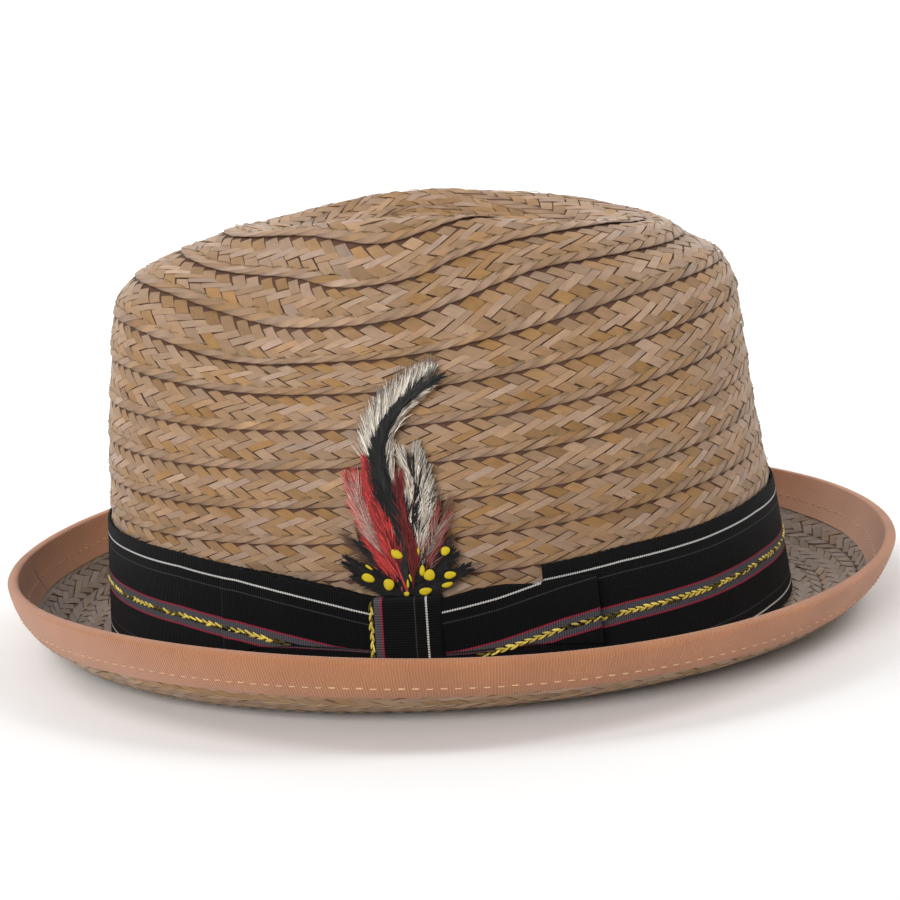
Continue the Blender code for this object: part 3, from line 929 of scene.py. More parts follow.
def straw_shell(settings):
    """The plait's inner layers: one wall under the strands, open at the head."""
    turns = np.linspace(0, 2 * math.pi, 193)[:-1]
    shares = np.concatenate([np.linspace(0.004, 1, 60), 1 + np.linspace(0, 1, 13)[1:]])
    turn, share = np.meshgrid(turns, shares, indexing="ij")
    front = place_on(turn, share, -SHELL_INSET)
    back = place_on(turn, share, -STRAW + SHELL_INSET)
    ring = np.concatenate([front, back[:, ::-1]], axis=1)
    faces = grid_faces(len(turns), 2 * len(shares), True, True)
    mesh = mesh_of("straw_shell", ring.reshape(1, -1, 3), faces[:, ::-1])
    return add_piece("straw_shell", mesh, shell_material(settings), "straw_braid",
                     "straw_crown", "straw_brim")


def rim_binding(settings):
    """Ribbon folded over the rim, with its two edges lying on the braid."""
    number = 720
    turns = np.linspace(0, 2 * math.pi, number, endpoint=False)
    rng = np.random.default_rng(31)
    waves = sum(rng.normal(0, 1) * np.sin(k * turns + rng.uniform(0, 6.28)) for k in range(5, 40, 3))
    waver = 0.00018 * waves / np.abs(waves).max()
    start = 2 - (BINDING_WIDTH + waver) / brim_width(turns)
    rise = 0.00035
    wall = 0.00040
    sides = []
    for face in (1, -1):
        for thick in (0.0, wall):
            lane = []
            for step in np.linspace(0, 1, 7):
                share = start + (2 - start) * step
                lift = rise + thick - 0.0001 * (1 - step) ** 6
                lane.append(place_on(turns, share, lift if face > 0 else -STRAW - lift))
            sides.append(lane)
    upper_in, upper_out, lower_in, lower_out = sides
    edge = place_on(turns, np.full(number, 2.0), -STRAW / 2)
    forward = unit(edge - place_on(turns, np.full(number, 1.92), -STRAW / 2))
    up = unit(upper_in[-1] - lower_in[-1])
    reach = STRAW / 2 + rise
    flatness = 0.55

    def nose(radius):
        """Points of the fold from the upper face to the lower one."""
        bends = np.radians(np.linspace(80, -80, 7))
        return [edge + forward * radius * flatness * math.cos(b) + up * radius * math.sin(b)
                for b in bends]

    section = upper_out + nose(reach + wall) + lower_out[::-1]
    section = section + lower_in + nose(reach)[::-1] + upper_in[::-1]
    grid = np.stack(section, axis=1)
    across = np.linspace(0, 1, grid.shape[1])
    uv = np.stack(np.broadcast_arrays(way_along(edge)[:, None], across[None, :]), axis=-1)
    faces = grid_faces(number, grid.shape[1], True, True)[:, ::-1]
    mesh = mesh_of("rim_binding", grid.reshape(1, -1, 3), faces, uv.reshape(1, -1, 2))
    mesh.set_sharp_from_angle(angle=math.radians(60))
    return add_piece("rim_binding", mesh, binding_material(settings), "binding_ribbon", "brim_binding")


def binding_stitches(settings):
    """Straight stitches through the binding, near its edge, on both faces."""
    step = 0.0036
    from_rim = 0.0080
    corners = np.radians([90, 210, 330, 90])
    along = np.linspace(-1, 1, 5)[:, None]
    round_hat = np.linspace(0, 2 * math.pi, 721)
    length = way_along(outer(round_hat, np.full(721, 1.75)))
    number = int(length[-1] / step)
    turns = np.interp((np.arange(number) + 0.5) / number * length[-1], length, round_hat)
    rng = np.random.default_rng(32)
    points = []
    for face in (1, -1):
        turn = turns[:, None, None] + along * 0.32 * 2 * math.pi / number + 0 * corners
        back = from_rim + rng.normal(0, 0.0001, number)[:, None, None] + 0.00026 * np.cos(corners)
        share = 2 - (back + 0 * turn) / brim_width(turn)
        lift = 0.00083 + 0.00018 * np.sin(corners) - 0.0004 * along**4 + 0 * turn
        points.append(place_on(turn, share, lift if face > 0 else -STRAW - lift).reshape(number, -1, 3))
    mesh = mesh_of("binding_stitches", np.concatenate(points), grid_faces(5, 4))
    return add_piece("binding_stitches", mesh, thread_material(settings.stitch), "binding_ribbon")


def band_middle(distance):
    """Height of the ribbon's middle line on the band: it keeps its distance from the top edge."""
    return ribbon_top(distance, BAND_TOPS) - RIBBON_WIDTH / 2


def toothed(distance, seed):
    """Loops of weft that stand a little out of the selvage."""
    rng = np.random.default_rng(seed)
    return rng.uniform(-0.00010, 0.00022, len(distance))


def hat_band(settings):
    """Striped ribbon round the crown: cut end behind the knot, round the back, to under the knot."""
    last = 2 * math.pi * HALF_LENGTH
    places = np.linspace(BAND_END, last, 900)
    wrapped = np.where(places < last / 2, places, places - last)
    top = ribbon_top(wrapped, BAND_TOPS) + toothed(places, 41)
    foot = 0.0008
    thickness = 0.0007
    levels = np.array([0.0, 0.1, 0.25, 0.45, 0.6, 0.75, 0.88, 0.97, 1.0])
    heights = foot + (top[:, None] - foot) * levels
    lift = 0.0016 + 0.00025 * np.sin(places / 0.017)[:, None] * levels + 0 * heights
    lift = lift - 0.0002 * (levels > 0.98)
    stripe = 1 - (ribbon_top(wrapped, BAND_TOPS)[:, None] - heights) / RIBBON_WIDTH
    distance = places[:, None] + 0 * heights
    front = wall_point(distance, heights, lift)
    back = wall_point(distance, heights, lift - thickness)
    uv = np.stack([distance, stripe], axis=-1)
    return ribbon_piece("striped_band", front, back, uv, 50, ribbon_material(settings), "hat_band", -1)


def fold_line(distance, table):
    """Height in metres of a line of the bow at a distance behind the knot's middle."""
    return np.interp(distance * 1000, [row[0] for row in table], [row[1] for row in table]) * 0.001


# Bow, in millimetres from the knot's middle: place and height above the break
FRONT_FOLD = ((-57, 7.0), (-51, 8.5), (-46, 11.8), (-33, 13.3), (-18, 13.2), (-5, 12.2))
FRONT_MIDDLE = ((-57, 17.3), (-50, 16.8), (-45, 15.9), (-39, 14.9), (-33, 13.8), (-20, 10.9), (-9, 8.2))
FRONT_TOP = ((-57, 33.2), (-49, 34.2), (-37, 32.4), (-27, 30.8), (-19, 29.0), (-9, 26.6))
BACK_FOLD = ((5, 11.0), (15, 10.9), (24, 11.3), (32, 11.4), (42, 10.2), (54, 8.6))
BACK_MIDDLE = ((5, 7.6), (15, 9.2), (24, 10.9), (33, 13.0), (42, 15.0), (54, 16.6))
BACK_TOP = ((5, 25.6), (11, 26.2), (18, 27.8), (26, 28.4), (37, 27.8), (54, 28.2))


def bow_loop(name, settings, way, length, tables, seed, node):
    """Ribbon folded back on itself; its lower half is pleated under a lengthwise fold."""
    top_line, middle_line, fold_at = tables
    inner, radius = 0.0030, 0.0011
    thickness = 0.0006
    foot = 0.0010
    ends = length - radius
    path = [(d, inner + 2 * radius, 1.0) for d in np.linspace(0.004, ends, 90)]
    path += [(ends + radius * math.cos(a), inner + radius * (1 + math.sin(a)), 0.6)
             for a in np.radians(np.linspace(80, -80, 9))]
    path += [(d, inner, 0.0) for d in np.linspace(ends, 0.004, 30)]
    distance, lift0, pleat = np.array(path).T
    distance = way * distance
    top = fold_line(distance, top_line) + toothed(distance, seed)
    fold = fold_line(distance, fold_at)
    middle = fold_line(distance, middle_line)
    # Lines along the ribbon, from its top edge over the fold to the part tucked under
    lanes = []
    for step in np.linspace(1, 0, 12):
        height = fold + 0.0006 + (top - fold - 0.0006) * step
        bulge = 0.0003 * math.sin(math.pi * step)
        lanes.append((height, lift0 + bulge * pleat, 0.5 + (height - middle) / RIBBON_WIDTH))
    for a in math.pi / 2 * np.linspace(0, 1, 6)[1:]:
        lanes.append((fold + 0.0006 * (1 - math.sin(a)), lift0 - 0.0009 * (1 - math.cos(a)) * pleat,
                      0.5 + (fold - middle) / RIBBON_WIDTH))
    for step in np.linspace(0, 1, 7)[1:]:
        lanes.append((fold + (foot - fold) * step, lift0 - 0.0010 * pleat,
                      0.20 + 0.08 * step + 0 * fold))
    heights, lift, stripe = (np.stack(values, axis=1) for values in zip(*lanes[::-1]))
    lift = lift + 0.00012 * np.sin(distance / 0.0031)[:, None]
    run = np.concatenate([[0], np.cumsum(np.abs(np.diff(distance)) + np.abs(np.diff(lift0)))])
    outward = np.gradient(lift0, run)[:, None]
    turn_in = np.clip(np.gradient(distance, run) * way, -1, 1)[:, None]
    front = wall_point(distance[:, None], heights, lift)
    back = wall_point(distance[:, None] + way * outward * thickness, heights, lift - turn_in * thickness)
    uv = np.stack([run[:, None] + 0 * heights, stripe], axis=-1)
    return ribbon_piece(name, front, back, uv, 55, ribbon_material(settings), node)


def knot_wrap(settings):
    """Half of the ribbon's width wrapped upright over the bow's middle, turned in at the top."""
    offsets = np.linspace(-KNOT_WIDTH / 2, KNOT_WIDTH / 2 - 0.0010, 33)
    top = 0.0272
    front = 0.0066
    bend = 0.0012
    thickness = 0.0006
    profile = [(h, front) for h in np.linspace(0.0008, top - bend, 26)]
    profile += [(top - bend + bend * math.sin(a), front - bend * (1 - math.cos(a)))
                for a in np.radians(np.linspace(0, 100, 7))[1:]]
    profile += [(top - 0.0001, front - 0.0030), (top - 0.0002, 0.0016)]
    height, lift = np.array(profile).T
    run = np.concatenate([[0], np.cumsum(np.hypot(np.diff(height), np.diff(lift)))])
    share = np.linspace(0, 1, len(offsets))
    ends = np.abs(2 * share - 1)
    dome = 0.0006 * (1 - ends**4) - 0.0012 * np.clip((ends - 0.9) / 0.1, 0, 1) ** 2
    crease = -0.00035 * np.exp(-((height - 0.0105) / 0.0016) ** 2)
    crease = crease + 0.0002 * np.exp(-((height - 0.0145) / 0.0030) ** 2)
    rise = lift[:, None] + dome[None, :] + crease[:, None]
    place = offsets[None, :] + 0 * rise
    tall = height[:, None] + 0 * rise
    tuck = np.gradient(height, run)[:, None]
    face = wall_point(place, tall, rise)
    back = wall_point(place * 0.97, tall - thickness * (1 - tuck), rise - thickness * np.clip(tuck, 0.2, 1))
    uv = np.stack(np.broadcast_arrays(run[:, None], 0.49 + 0.51 * share[None, :]), axis=-1)
    return ribbon_piece("bow_wrap", face, back, uv, 50, ribbon_material(settings), "bow_knot")


def gold_chain(name, settings, distances, middle, lift, upright=False):
    """Two gold threads that twist round each other on a black core, as raised slanted stitches."""
    step = 0.0026
    number = int((distances[-1] - distances[0]) / step)
    along = np.linspace(-1, 1, 5)[:, None]
    side = np.array([-1.2, -0.5, 0.5, 1.2])
    rng = np.random.default_rng(51)
    points, tones = [], []
    for lane, shift in ((1, 0.0), (-1, 0.5)):
        centre = distances[0] + (np.arange(number) + 0.5 + shift) * step
        wide = 0.00034 * np.sqrt(1 - 0.92 * along**2)
        slant = lane * (0.00030 - 0.00042 * along)
        place = centre[:, None, None] + along * 0.00150 + 0 * side
        height = (slant + side * wide) * (1 + rng.normal(0, 0.08, number))[:, None, None]
        rise = lift + 0.00045 - 0.00022 * side**2 - 0.00035 * along**2 + lane * 0.00008
        if upright:
            spot = wall_point(middle(place) + height, place, rise)
        else:
            spot = wall_point(place, middle(place) + height, rise)
        light = np.exp(rng.normal(0, 0.16, number))
        in_shade = rng.uniform(size=number) < 0.32
        light = np.where(in_shade, light * 0.12, light)
        points.append(spot.reshape(number, -1, 3))
        tones.append(np.repeat((np.array(settings.gold) * light[:, None])[:, None], 20, axis=1))
    faces = grid_faces(5, 4)[:, ::-1 if upright else 1]
    mesh = mesh_of(name, np.concatenate(points), faces, tone=np.concatenate(tones))
    return add_piece(name, mesh, chain_material(), "striped_ribbon")


# Feathers, in millimetres: place behind the knot's middle and height above the break
QUILL = ((-0.5, 27), (-0.5, 37), (-1, 46.5), (-4, 53.5), (-5.6, 59), (-6, 64), (-5.2, 68), (-3.6, 72),
         (-1.6, 75), (1.5, 78), (5.5, 80.6), (9.5, 82.6))
STRIPED_QUILL = ((0, 27), (1, 37), (1.8, 44), (3.4, 51), (4, 56), (3.2, 61))
RED_OUTER = ((-1, 27.5), (-4, 34), (-8, 41.5), (-11.5, 50), (-13, 55.5))
RED_TALL = ((0, 28), (-3, 37), (-5.5, 45.5), (-8, 53.5), (-9.2, 60))
RED_FILL = ((-1, 28), (-3.5, 35), (-7, 43), (-9.5, 50), (-11, 55))
RED_MIDDLE = ((1.5, 28), (2, 36.5), (0.5, 45), (-0.5, 53), (-0.5, 57))
RED_BACK = ((1.5, 28), (4, 34.5), (7, 40.5), (9.5, 46))
BROWN_BACK = ((1, 28), (5, 36), (8, 43), (10.5, 50))
GREY_BACK = ((0, 28), (3.5, 39), (5.5, 46), (6.5, 53))
BROWN_FRONT = ((-2, 28), (-6, 33), (-10, 38), (-13, 42))
FAN_FRONT = ((-2, 27.5), (-6, 30.5), (-11, 33.5), (-15, 36))
FAN_FRONT_LOW = ((-1, 27.5), (-5, 29), (-10, 31), (-13, 32.5))
FAN_BACK = ((1, 27.5), (6, 29.5), (11, 31.5), (15, 33))
FAN_BACK_HIGH = ((1, 28), (5, 31), (9, 34.5), (12, 37))
FAN_UP = ((1, 28.5), (5.5, 33), (9, 37.5), (11, 41))
DARK_ROOT = ((1, 28), (2, 34), (2.5, 41), (2, 47))
ROOT = ((-3, 27), (0, 30.5), (2, 34))
SPOT_LIFT = 4.35  # painted dots above the wall
SPOTS = (
    # place, height, half width, half height, lean in degrees
    (-2.4, 38.8, 1.75, 1.15, -35), (11.0, 39.0, 1.35, 1.15, 35), (-10.6, 32.5, 1.85, 1.15, -20),
    (-5.0, 30.6, 1.45, 1.6, 15), (6.2, 32.7, 1.6, 1.5, 35), (4.3, 34.0, 0.75, 1.5, -5),
    (11.8, 32.4, 1.65, 1.0, 5), (10.9, 29.8, 1.6, 0.7, 12), (4.8, 28.4, 1.75, 1.0, 8),
    (-0.3, 27.9, 0.75, 0.65, 0), (-10.2, 35.4, 1.2, 0.35, -35), (1.0, 32.2, 0.3, 1.1, 15),
    (3.6, 39.4, 0.32, 1.0, 0), (0.2, 30.6, 0.35, 1.2, 0),
)


def spine_points(spine, number):
    """Smooth run through a spine's points: places with heights, and unit tangents, in millimetres."""
    given = np.array(spine, float)
    length = way_along(given)
    fine = np.linspace(0, length[-1], 200)
    curve = np.stack([np.interp(fine, length, given[:, k]) for k in (0, 1)], axis=1)
    window = np.hanning(41)[1:-1]
    padded = np.concatenate([2 * curve[0] - curve[19:0:-1], curve, 2 * curve[-1] - curve[-2:-21:-1]])
    curve = np.stack([np.convolve(padded[:, k], window / window.sum(), "same")[19:-19]
                      for k in (0, 1)], axis=1)
    tangent = unit(np.gradient(curve, axis=0))
    at = np.linspace(0, 199, number).round().astype(int)
    return curve[at], tangent[at]


class Barbs:
    """Collects barbs and quills as tapered strips, then makes one mesh of them."""

    def __init__(self, seed):
        self.rng = np.random.default_rng(seed)
        self.points = []
        self.tones = []

    def vane(self, spine, number, reach, spread, lift, colours, start, sides, width):
        """Barbs along a spine; colours are root, tip and the share of the barb where they meet."""
        rng = self.rng
        curve, tangent = spine_points(spine, 160)
        root_colour, tip_colour, mixed_at = colours
        along = np.linspace(0, 1, 6)
        for side in sides:
            t = np.sort(rng.uniform(start, 1.0, number))
            at = (t * 159).astype(int)
            share = (t - start) / (1 - start)
            length = (reach[0] + (reach[1] - reach[0]) * share) * rng.uniform(0.75, 1.1, number)
            angle = np.radians(spread[0] + (spread[1] - spread[0]) * share) * side
            angle = angle * rng.uniform(0.75, 1.25, number)
            bend = side * np.radians(rng.normal(-12, 8, number))
            heading = angle[:, None] + bend[:, None] * along
            c, s = np.cos(heading), np.sin(heading)
            tx, ty = tangent[at, 0][:, None], tangent[at, 1][:, None]
            dx, dy = tx * c + ty * s, ty * c - tx * s
            step = length[:, None] / 5
            x, y = (curve[at, k][:, None] + np.cumsum(np.insert(d[:, 1:] * step, 0, 0, axis=1), axis=1)
                    for k, d in enumerate((dx, dy)))
            wide = width / 2 * (1 - along**2 * 0.75) * rng.uniform(0.7, 1.3, number)[:, None]
            out = lift + 0.35 * t[:, None] + rng.normal(0, 0.22, number)[:, None]
            out = out + along * rng.normal(0.25, 0.35, number)[:, None]
            meet = along - mixed_at + rng.normal(0, 0.07, number)[:, None]
            blend = np.clip(meet / 0.22 + 0.5, 0, 1)[..., None]
            light = np.exp(rng.normal(0, 0.30, number))[:, None, None]
            tone = np.array(root_colour) * (1 - blend) + np.array(tip_colour) * blend
            self.add(x, y, dx, dy, wide, out, tone * light)

    def add(self, x, y, dx, dy, wide, out, tone):
        """Strips with their middle line, heading, half width and lift, in millimetres, and colour."""
        sides = [wall_point((x + way * dy * wide) * 0.001, (y - way * dx * wide) * 0.001,
                            np.maximum(out, 0.6) * 0.001) for way in (1, -1)]
        self.points.append(np.stack(sides, axis=2).reshape(len(x), -1, 3))
        self.tones.append(np.repeat(tone[:, :, None], 2, axis=2).reshape(len(x), -1, 3))

    def quill(self, spine, width, lift, colour):
        """The shaft itself: two strips side by side, one lit and raised."""
        curve, tangent = spine_points(spine, 36)
        for shift, rise in ((-0.25, 0.0), (0.25, 0.12)):
            for first in range(0, 31, 5):
                part = slice(first, first + 6)
                taper = np.linspace(1.0, 0.25, 36)[part]
                dx, dy = tangent[part, 0][None], tangent[part, 1][None]
                x = curve[part, 0][None] + shift * width * dy
                y = curve[part, 1][None] - shift * width * dx
                self.add(x, y, dx, dy, (width / 2 * taper)[None], np.full((1, 6), lift + rise),
                         np.broadcast_to(np.array(colour) * (1 + shift), (1, 6, 3)))

    def piece(self, name):
        """One mesh of all that was added."""
        mesh = mesh_of(name, np.concatenate(self.points), grid_faces(6, 2),
                       tone=np.concatenate(self.tones))
        return add_piece(name, mesh, feather_material(), "feathers")


# Vanes of the feathers: number, then length of the barbs in millimetres and their angle in degrees at
# the vane's start and end, lift in millimetres, colour names with a strength, share of the barb at
# which they meet, share of the spine where it starts, side of the spine, barb width
VANES = {
    # spine, number, reach, spread, lift, root, tip, meet, start, sides, width
    "tall_feathers": (
        (QUILL, 620, (15.5, 6.0), (11, 50), 2.6, ("cream", 1.0), ("cream", 0.9), 0.9, 0.44, (-1,), 0.32),
        (QUILL, 420, (16.0, 7.5), (13, 54), 2.3, ("cream", 0.8), ("black", 2.0), 0.86, 0.46, (-1,), 0.24),
        (QUILL, 240, (13.5, 7.5), (13, 60), 2.4, ("cream", 0.7), ("brown", 0.8), 0.7, 0.60, (-1,), 0.20),
        (QUILL, 620, (15.5, 3.0), (27, 24), 2.5, ("cream", 0.9), ("cream", 0.8), 0.9, 0.36, (1,), 0.26),
        (QUILL, 140, (15.5, 3.0), (28, 26), 2.7, ("cream", 0.5), ("brown", 0.8), 0.5, 0.36, (1,), 0.22),
        (QUILL, 200, (6.5, 4.5), (26, 46), 3.0, ("brown", 1.0), ("black", 1.6), 0.5, 0.84, (-1,), 0.22),
        (QUILL, 120, (4.0, 3.6), (10, 22), 3.2, ("black", 1.2), ("black", 2.0), 0.6, 0.90, (-1, 1), 0.24),
        (STRIPED_QUILL, 760, (11.0, 8.0), (34, 26), 2.6, ("cream", 0.9), ("cream", 0.65), 0.8, 0.30,
         (-1, 1), 0.30),
        (STRIPED_QUILL, 260, (11.0, 8.0), (28, 26), 2.6, ("cream", 0.4), ("brown", 0.9), 0.4, 0.25,
         (-1, 1), 0.24),
        (STRIPED_QUILL, 150, (11.0, 8.0), (38, 32), 2.7, ("black", 1.2), ("black", 1.8), 0.9, 0.20,
         (1,), 0.30),
        (STRIPED_QUILL, 45, (8.0, 7.0), (14, 20), 2.9, ("black", 1.2), ("black", 2.0), 0.9, 0.45,
         (1,), 0.34),
        (STRIPED_QUILL, 60, (8.0, 7.0), (12, 16), 2.9, ("black", 1.4), ("brown", 1.0), 0.9, 0.50,
         (-1,), 0.26),
        (GREY_BACK, 170, (9.0, 6.0), (14, 18), 2.9, ("grey", 1.0), ("cream", 0.8), 0.5, 0.35,
         (-1, 1), 0.24),
        (QUILL, 640, (10.0, 4.0), (27, 5), 3.4, ("black", 0.8), ("black", 1.3), 0.9, 0.26, (-1, 1), 0.50),
        (QUILL, 300, (9.0, 6.0), (16, 8), 3.2, ("black", 1.0), ("black", 1.2), 0.9, 0.05, (-1, 1), 0.50),
    ),
    "red_hackles": (
        (RED_FILL, 700, (9.0, 8.0), (24, 27), 2.3, ("red", 0.55), ("red", 1.1), 0.6, 0.02, (-1, 1), 0.32),
        (RED_OUTER, 520, (9.0, 7.5), (19, 18), 2.6, ("red", 0.8), ("red", 1.2), 0.7, 0.05, (-1, 1), 0.28),
        (RED_TALL, 520, (9.0, 6.5), (24, 10), 3.2, ("red", 0.5), ("red", 1.0), 0.55, 0.10, (-1, 1), 0.30),
        (RED_OUTER, 130, (9.0, 8.0), (16, 20), 3.0, ("pink", 0.7), ("pink", 0.9), 0.6, 0.40,
         (-1, 1), 0.16),
        (RED_FILL, 120, (9.0, 8.0), (20, 20), 3.1, ("pink", 0.4), ("pink", 0.8), 0.6, 0.25, (-1,), 0.16),
        (RED_TALL, 200, (9.0, 6.0), (20, 10), 3.5, ("red", 0.22), ("red", 0.35), 0.6, 0.10, (1,), 0.24),
        (RED_MIDDLE, 150, (9.0, 6.0), (14, 16), 3.8, ("red", 0.22), ("red", 0.45), 0.6, 0.05,
         (-1, 1), 0.20),
        (RED_BACK, 210, (9.0, 6.5), (24, 24), 2.7, ("red", 0.35), ("red", 0.7), 0.5, 0.05, (-1, 1), 0.18),
        (RED_BACK, 150, (8.0, 6.0), (28, 26), 2.9, ("grey", 0.7), ("pink", 0.6), 0.5, 0.15,
         (-1, 1), 0.15),
    ),
    "brown_down": (
        (BROWN_BACK, 240, (8.0, 6.5), (22, 28), 2.0, ("brown", 0.6), ("brown", 1.4), 0.6, 0.15,
         (-1, 1), 0.14),
        (BROWN_FRONT, 260, (8.5, 7.0), (24, 34), 1.8, ("black", 1.8), ("brown", 0.8), 0.5, 0.05,
         (-1, 1), 0.15),
        (FAN_UP, 240, (7.0, 4.5), (22, 24), 2.3, ("black", 1.0), ("brown", 0.5), 0.7, 0.05,
         (-1, 1), 0.28),
        (DARK_ROOT, 420, (9.0, 6.5), (20, 24), 2.5, ("black", 0.9), ("black", 1.6), 0.8, 0.0,
         (-1, 1), 0.40),
    ),
    "spotted_feathers": (
        (FAN_FRONT, 340, (6.0, 4.0), (30, 22), 2.9, ("black", 1.0), ("black", 1.5), 0.9, 0.0,
         (-1, 1), 0.42),
        (FAN_FRONT_LOW, 260, (6.0, 3.5), (26, 22), 2.8, ("black", 1.0), ("black", 1.5), 0.9, 0.0,
         (-1, 1), 0.42),
        (FAN_BACK, 340, (6.0, 4.0), (28, 20), 2.9, ("black", 1.0), ("black", 1.5), 0.9, 0.0,
         (-1, 1), 0.42),
        (FAN_BACK_HIGH, 300, (6.0, 3.6), (28, 24), 2.7, ("black", 1.0), ("black", 1.6), 0.9, 0.0,
         (-1, 1), 0.40),
        (ROOT, 300, (7.0, 5.0), (40, 44), 2.7, ("black", 1.0), ("black", 1.2), 0.9, 0.0, (-1, 1), 0.50),
    ),
}
SHAFTS = {
    # spine, width, lift, colour
    "tall_feathers": (
        (QUILL, 1.3, 3.9, ("black", 1.6)),
    ),
    "red_hackles": (
        (RED_OUTER, 0.45, 3.2, ("red", 0.8)),
        (RED_TALL, 0.4, 4.0, ("red", 0.9)),
    ),
}


def feathers(settings):
    """Barb by barb, from the vane table; the pieces take the place of the CAD's fused feathers, which are
    hidden.
    """
    dyes = {name: np.array(getattr(settings, name)) for name in ("black", "cream", "red", "brown")}
    dyes["grey"] = 0.45 * dyes["cream"] + 0.35 * dyes["brown"]
    dyes["pink"] = 0.5 * dyes["cream"] + 0.4 * dyes["red"]
    for seed, (name, vanes) in enumerate(VANES.items()):
        tuft = Barbs(61 + seed)
        for spine, number, reach, spread, lift, root, tip, meet, start, sides, width in vanes:
            colours = (dyes[root[0]] * root[1], dyes[tip[0]] * tip[1], meet)
            tuft.vane(spine, number, reach, spread, lift, colours, start, sides, width)
        for spine, width, lift, dye in SHAFTS.get(name, ()):
            tuft.quill(spine, width, lift, dyes[dye[0]] * dye[1])
        tuft.piece(name)
    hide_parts("feather_tuft")
    yellow_spots(settings)


def yellow_spots(settings):
    """Painted dots on the root feathers, slightly domed."""
    angles = np.linspace(0, 2 * math.pi, 17)
    rings = np.array([0.02, 0.55, 0.9, 1.0])
    rise = np.array([0.22, 0.20, 0.10, -0.10])
    points, tones = [], []
    rng = np.random.default_rng(65)
    for place, height, wide, tall, lean in SPOTS:
        lean = math.radians(lean)
        wobble = 1 + 0.05 * np.sin(3 * angles + rng.uniform(0, 6))
        a = rings[:, None] * wide * np.cos(angles) * wobble
        b = rings[:, None] * tall * np.sin(angles) * wobble
        x = place + a * math.cos(lean) - b * math.sin(lean)
        y = height + a * math.sin(lean) + b * math.cos(lean)
        lift = (SPOT_LIFT + rise[:, None] + 0 * x) * 0.001
        points.append(wall_point(x * 0.001, y * 0.001, lift).reshape(-1, 3))
        tones.append(np.broadcast_to(np.array(settings.spot), (len(rings) * 17, 3)))
    mesh = mesh_of("yellow_spots", np.stack(points), grid_faces(4, 17), tone=np.stack(tones))
    # Fabric paint dries to a dull skin, thick enough to hide the barbs
    paint = painted_material("yellow_fabric_paint", 0.5, 0.06)
    return add_piece("yellow_spots", mesh, paint, "feathers")


# Stage

def stage():
    """White floor that curves up behind, soft studio light and the camera at the photograph's angle."""
    bends = np.radians(np.linspace(0, 90, 13))
    ground = CAD_BOX[0][2] - 0.0002
    profile = [(4.0, ground)] + [(-1.6 - 0.6 * math.sin(b), ground + 0.6 * (1 - math.cos(b))) for b in bends]
    profile += [(-2.2, 4.0)]
    grid = np.array([[(x, y, z) for y in (-5.0, 0.0, 5.0)] for x, z in profile])
    mesh = mesh_of("studio_backdrop", grid.reshape(1, -1, 3), grid_faces(len(profile), 3)[:, ::-1])
    backdrop = bpy.data.objects.new("studio_backdrop", mesh)
    bpy.context.scene.collection.objects.link(backdrop)
    # Paper sweep: dull and even, so that it shows as plain white
    made, tree, shader = new_material("matte_white_paper", Roughness=0.95, Specular_IOR_Level=0.1)
    mottle = noise(tree, object_place(tree), 8.0)
    colour = blended(tree, mottle, opaque(linear("F8F8F7")), opaque(linear("FAFAFA")))
    tree.links.new(colour, shader.inputs["Base Color"])
    mesh.materials.append(made)
    world = bpy.data.worlds.new("white_studio")
    world.use_nodes = True
    world.node_tree.nodes["Background"].inputs["Color"].default_value = (1, 1, 1, 1)
    world.node_tree.nodes["Background"].inputs["Strength"].default_value = WORLD_LIGHT
    bpy.context.scene.world = world
    lamps = (
        # name, place, aim, size, watts
        ("key_softbox", (1.9, -0.55, 1.05), (0.0, 0.0, 0.06), 1.0, 27.0),
        ("backdrop_light_left", (-0.6, -1.6, 1.9), (-2.2, -0.6, 1.0), 1.5, 42.0),
        ("backdrop_light_right", (-0.6, 1.6, 1.9), (-2.2, 0.6, 1.0), 1.5, 42.0),
    )
    for name, place, aim, size, watts in lamps:
        light = bpy.data.lights.new(name, "AREA")
        light.size = size
        light.energy = watts
        lamp = bpy.data.objects.new(name, light)
        bpy.context.scene.collection.objects.link(lamp)
        lamp.location = place
        lamp.rotation_mode = "QUATERNION"
        lamp.rotation_quaternion = (mathutils.Vector(aim) - mathutils.Vector(place)).to_track_quat("-Z", "Y")
    photograph_camera()
    bpy.context.scene.view_settings.view_transform = "Standard"


def photograph_camera():
    """Camera with the photograph's place, tilt and focal length."""
    a, e, r = (math.radians(v) for v in (CAMERA_AZIMUTH, CAMERA_ELEVATION, CAMERA_ROLL))
    back = np.array([math.sin(a) * math.cos(e), -math.cos(a) * math.cos(e), math.sin(e)])
    level = np.array([math.cos(a), math.sin(a), 0.0])
    upward = np.cross(back, level)
    right = math.cos(r) * level + math.sin(r) * upward
    top = -math.sin(r) * level + math.cos(r) * upward
    aim = level * CAMERA_AIM[0] + upward * CAMERA_AIM[1] + np.array([0, 0, CAMERA_AIM[2]])
    place = aim + np.array([0.0, middle_shift(), STRAW]) + back * CAMERA_REACH
    data = bpy.data.cameras.new("photograph_camera")
    data.sensor_width = SENSOR_MM
    data.lens = CAMERA_FOCUS / FRAME_PIXELS * SENSOR_MM
    camera = bpy.data.objects.new("photograph_camera", data)
    bpy.context.scene.collection.objects.link(camera)
    matrix = np.eye(4)
    matrix[:3, 0], matrix[:3, 1], matrix[:3, 2], matrix[:3, 3] = right, top, back, place
    camera.matrix_world = mathutils.Matrix(matrix.tolist())
    bpy.context.scene.camera = camera


# Operators

class FEDORA_OT_straw_shell(bpy.types.Operator):
    """Add the inner layers of the plait under the strands, coloured dark as painted shade"""
    bl_idname = "fedora.straw_shell"
    bl_label = "Straw inner layers"

    def execute(self, context):
        straw_shell(context.scene.fedora_straw)
        return {"FINISHED"}


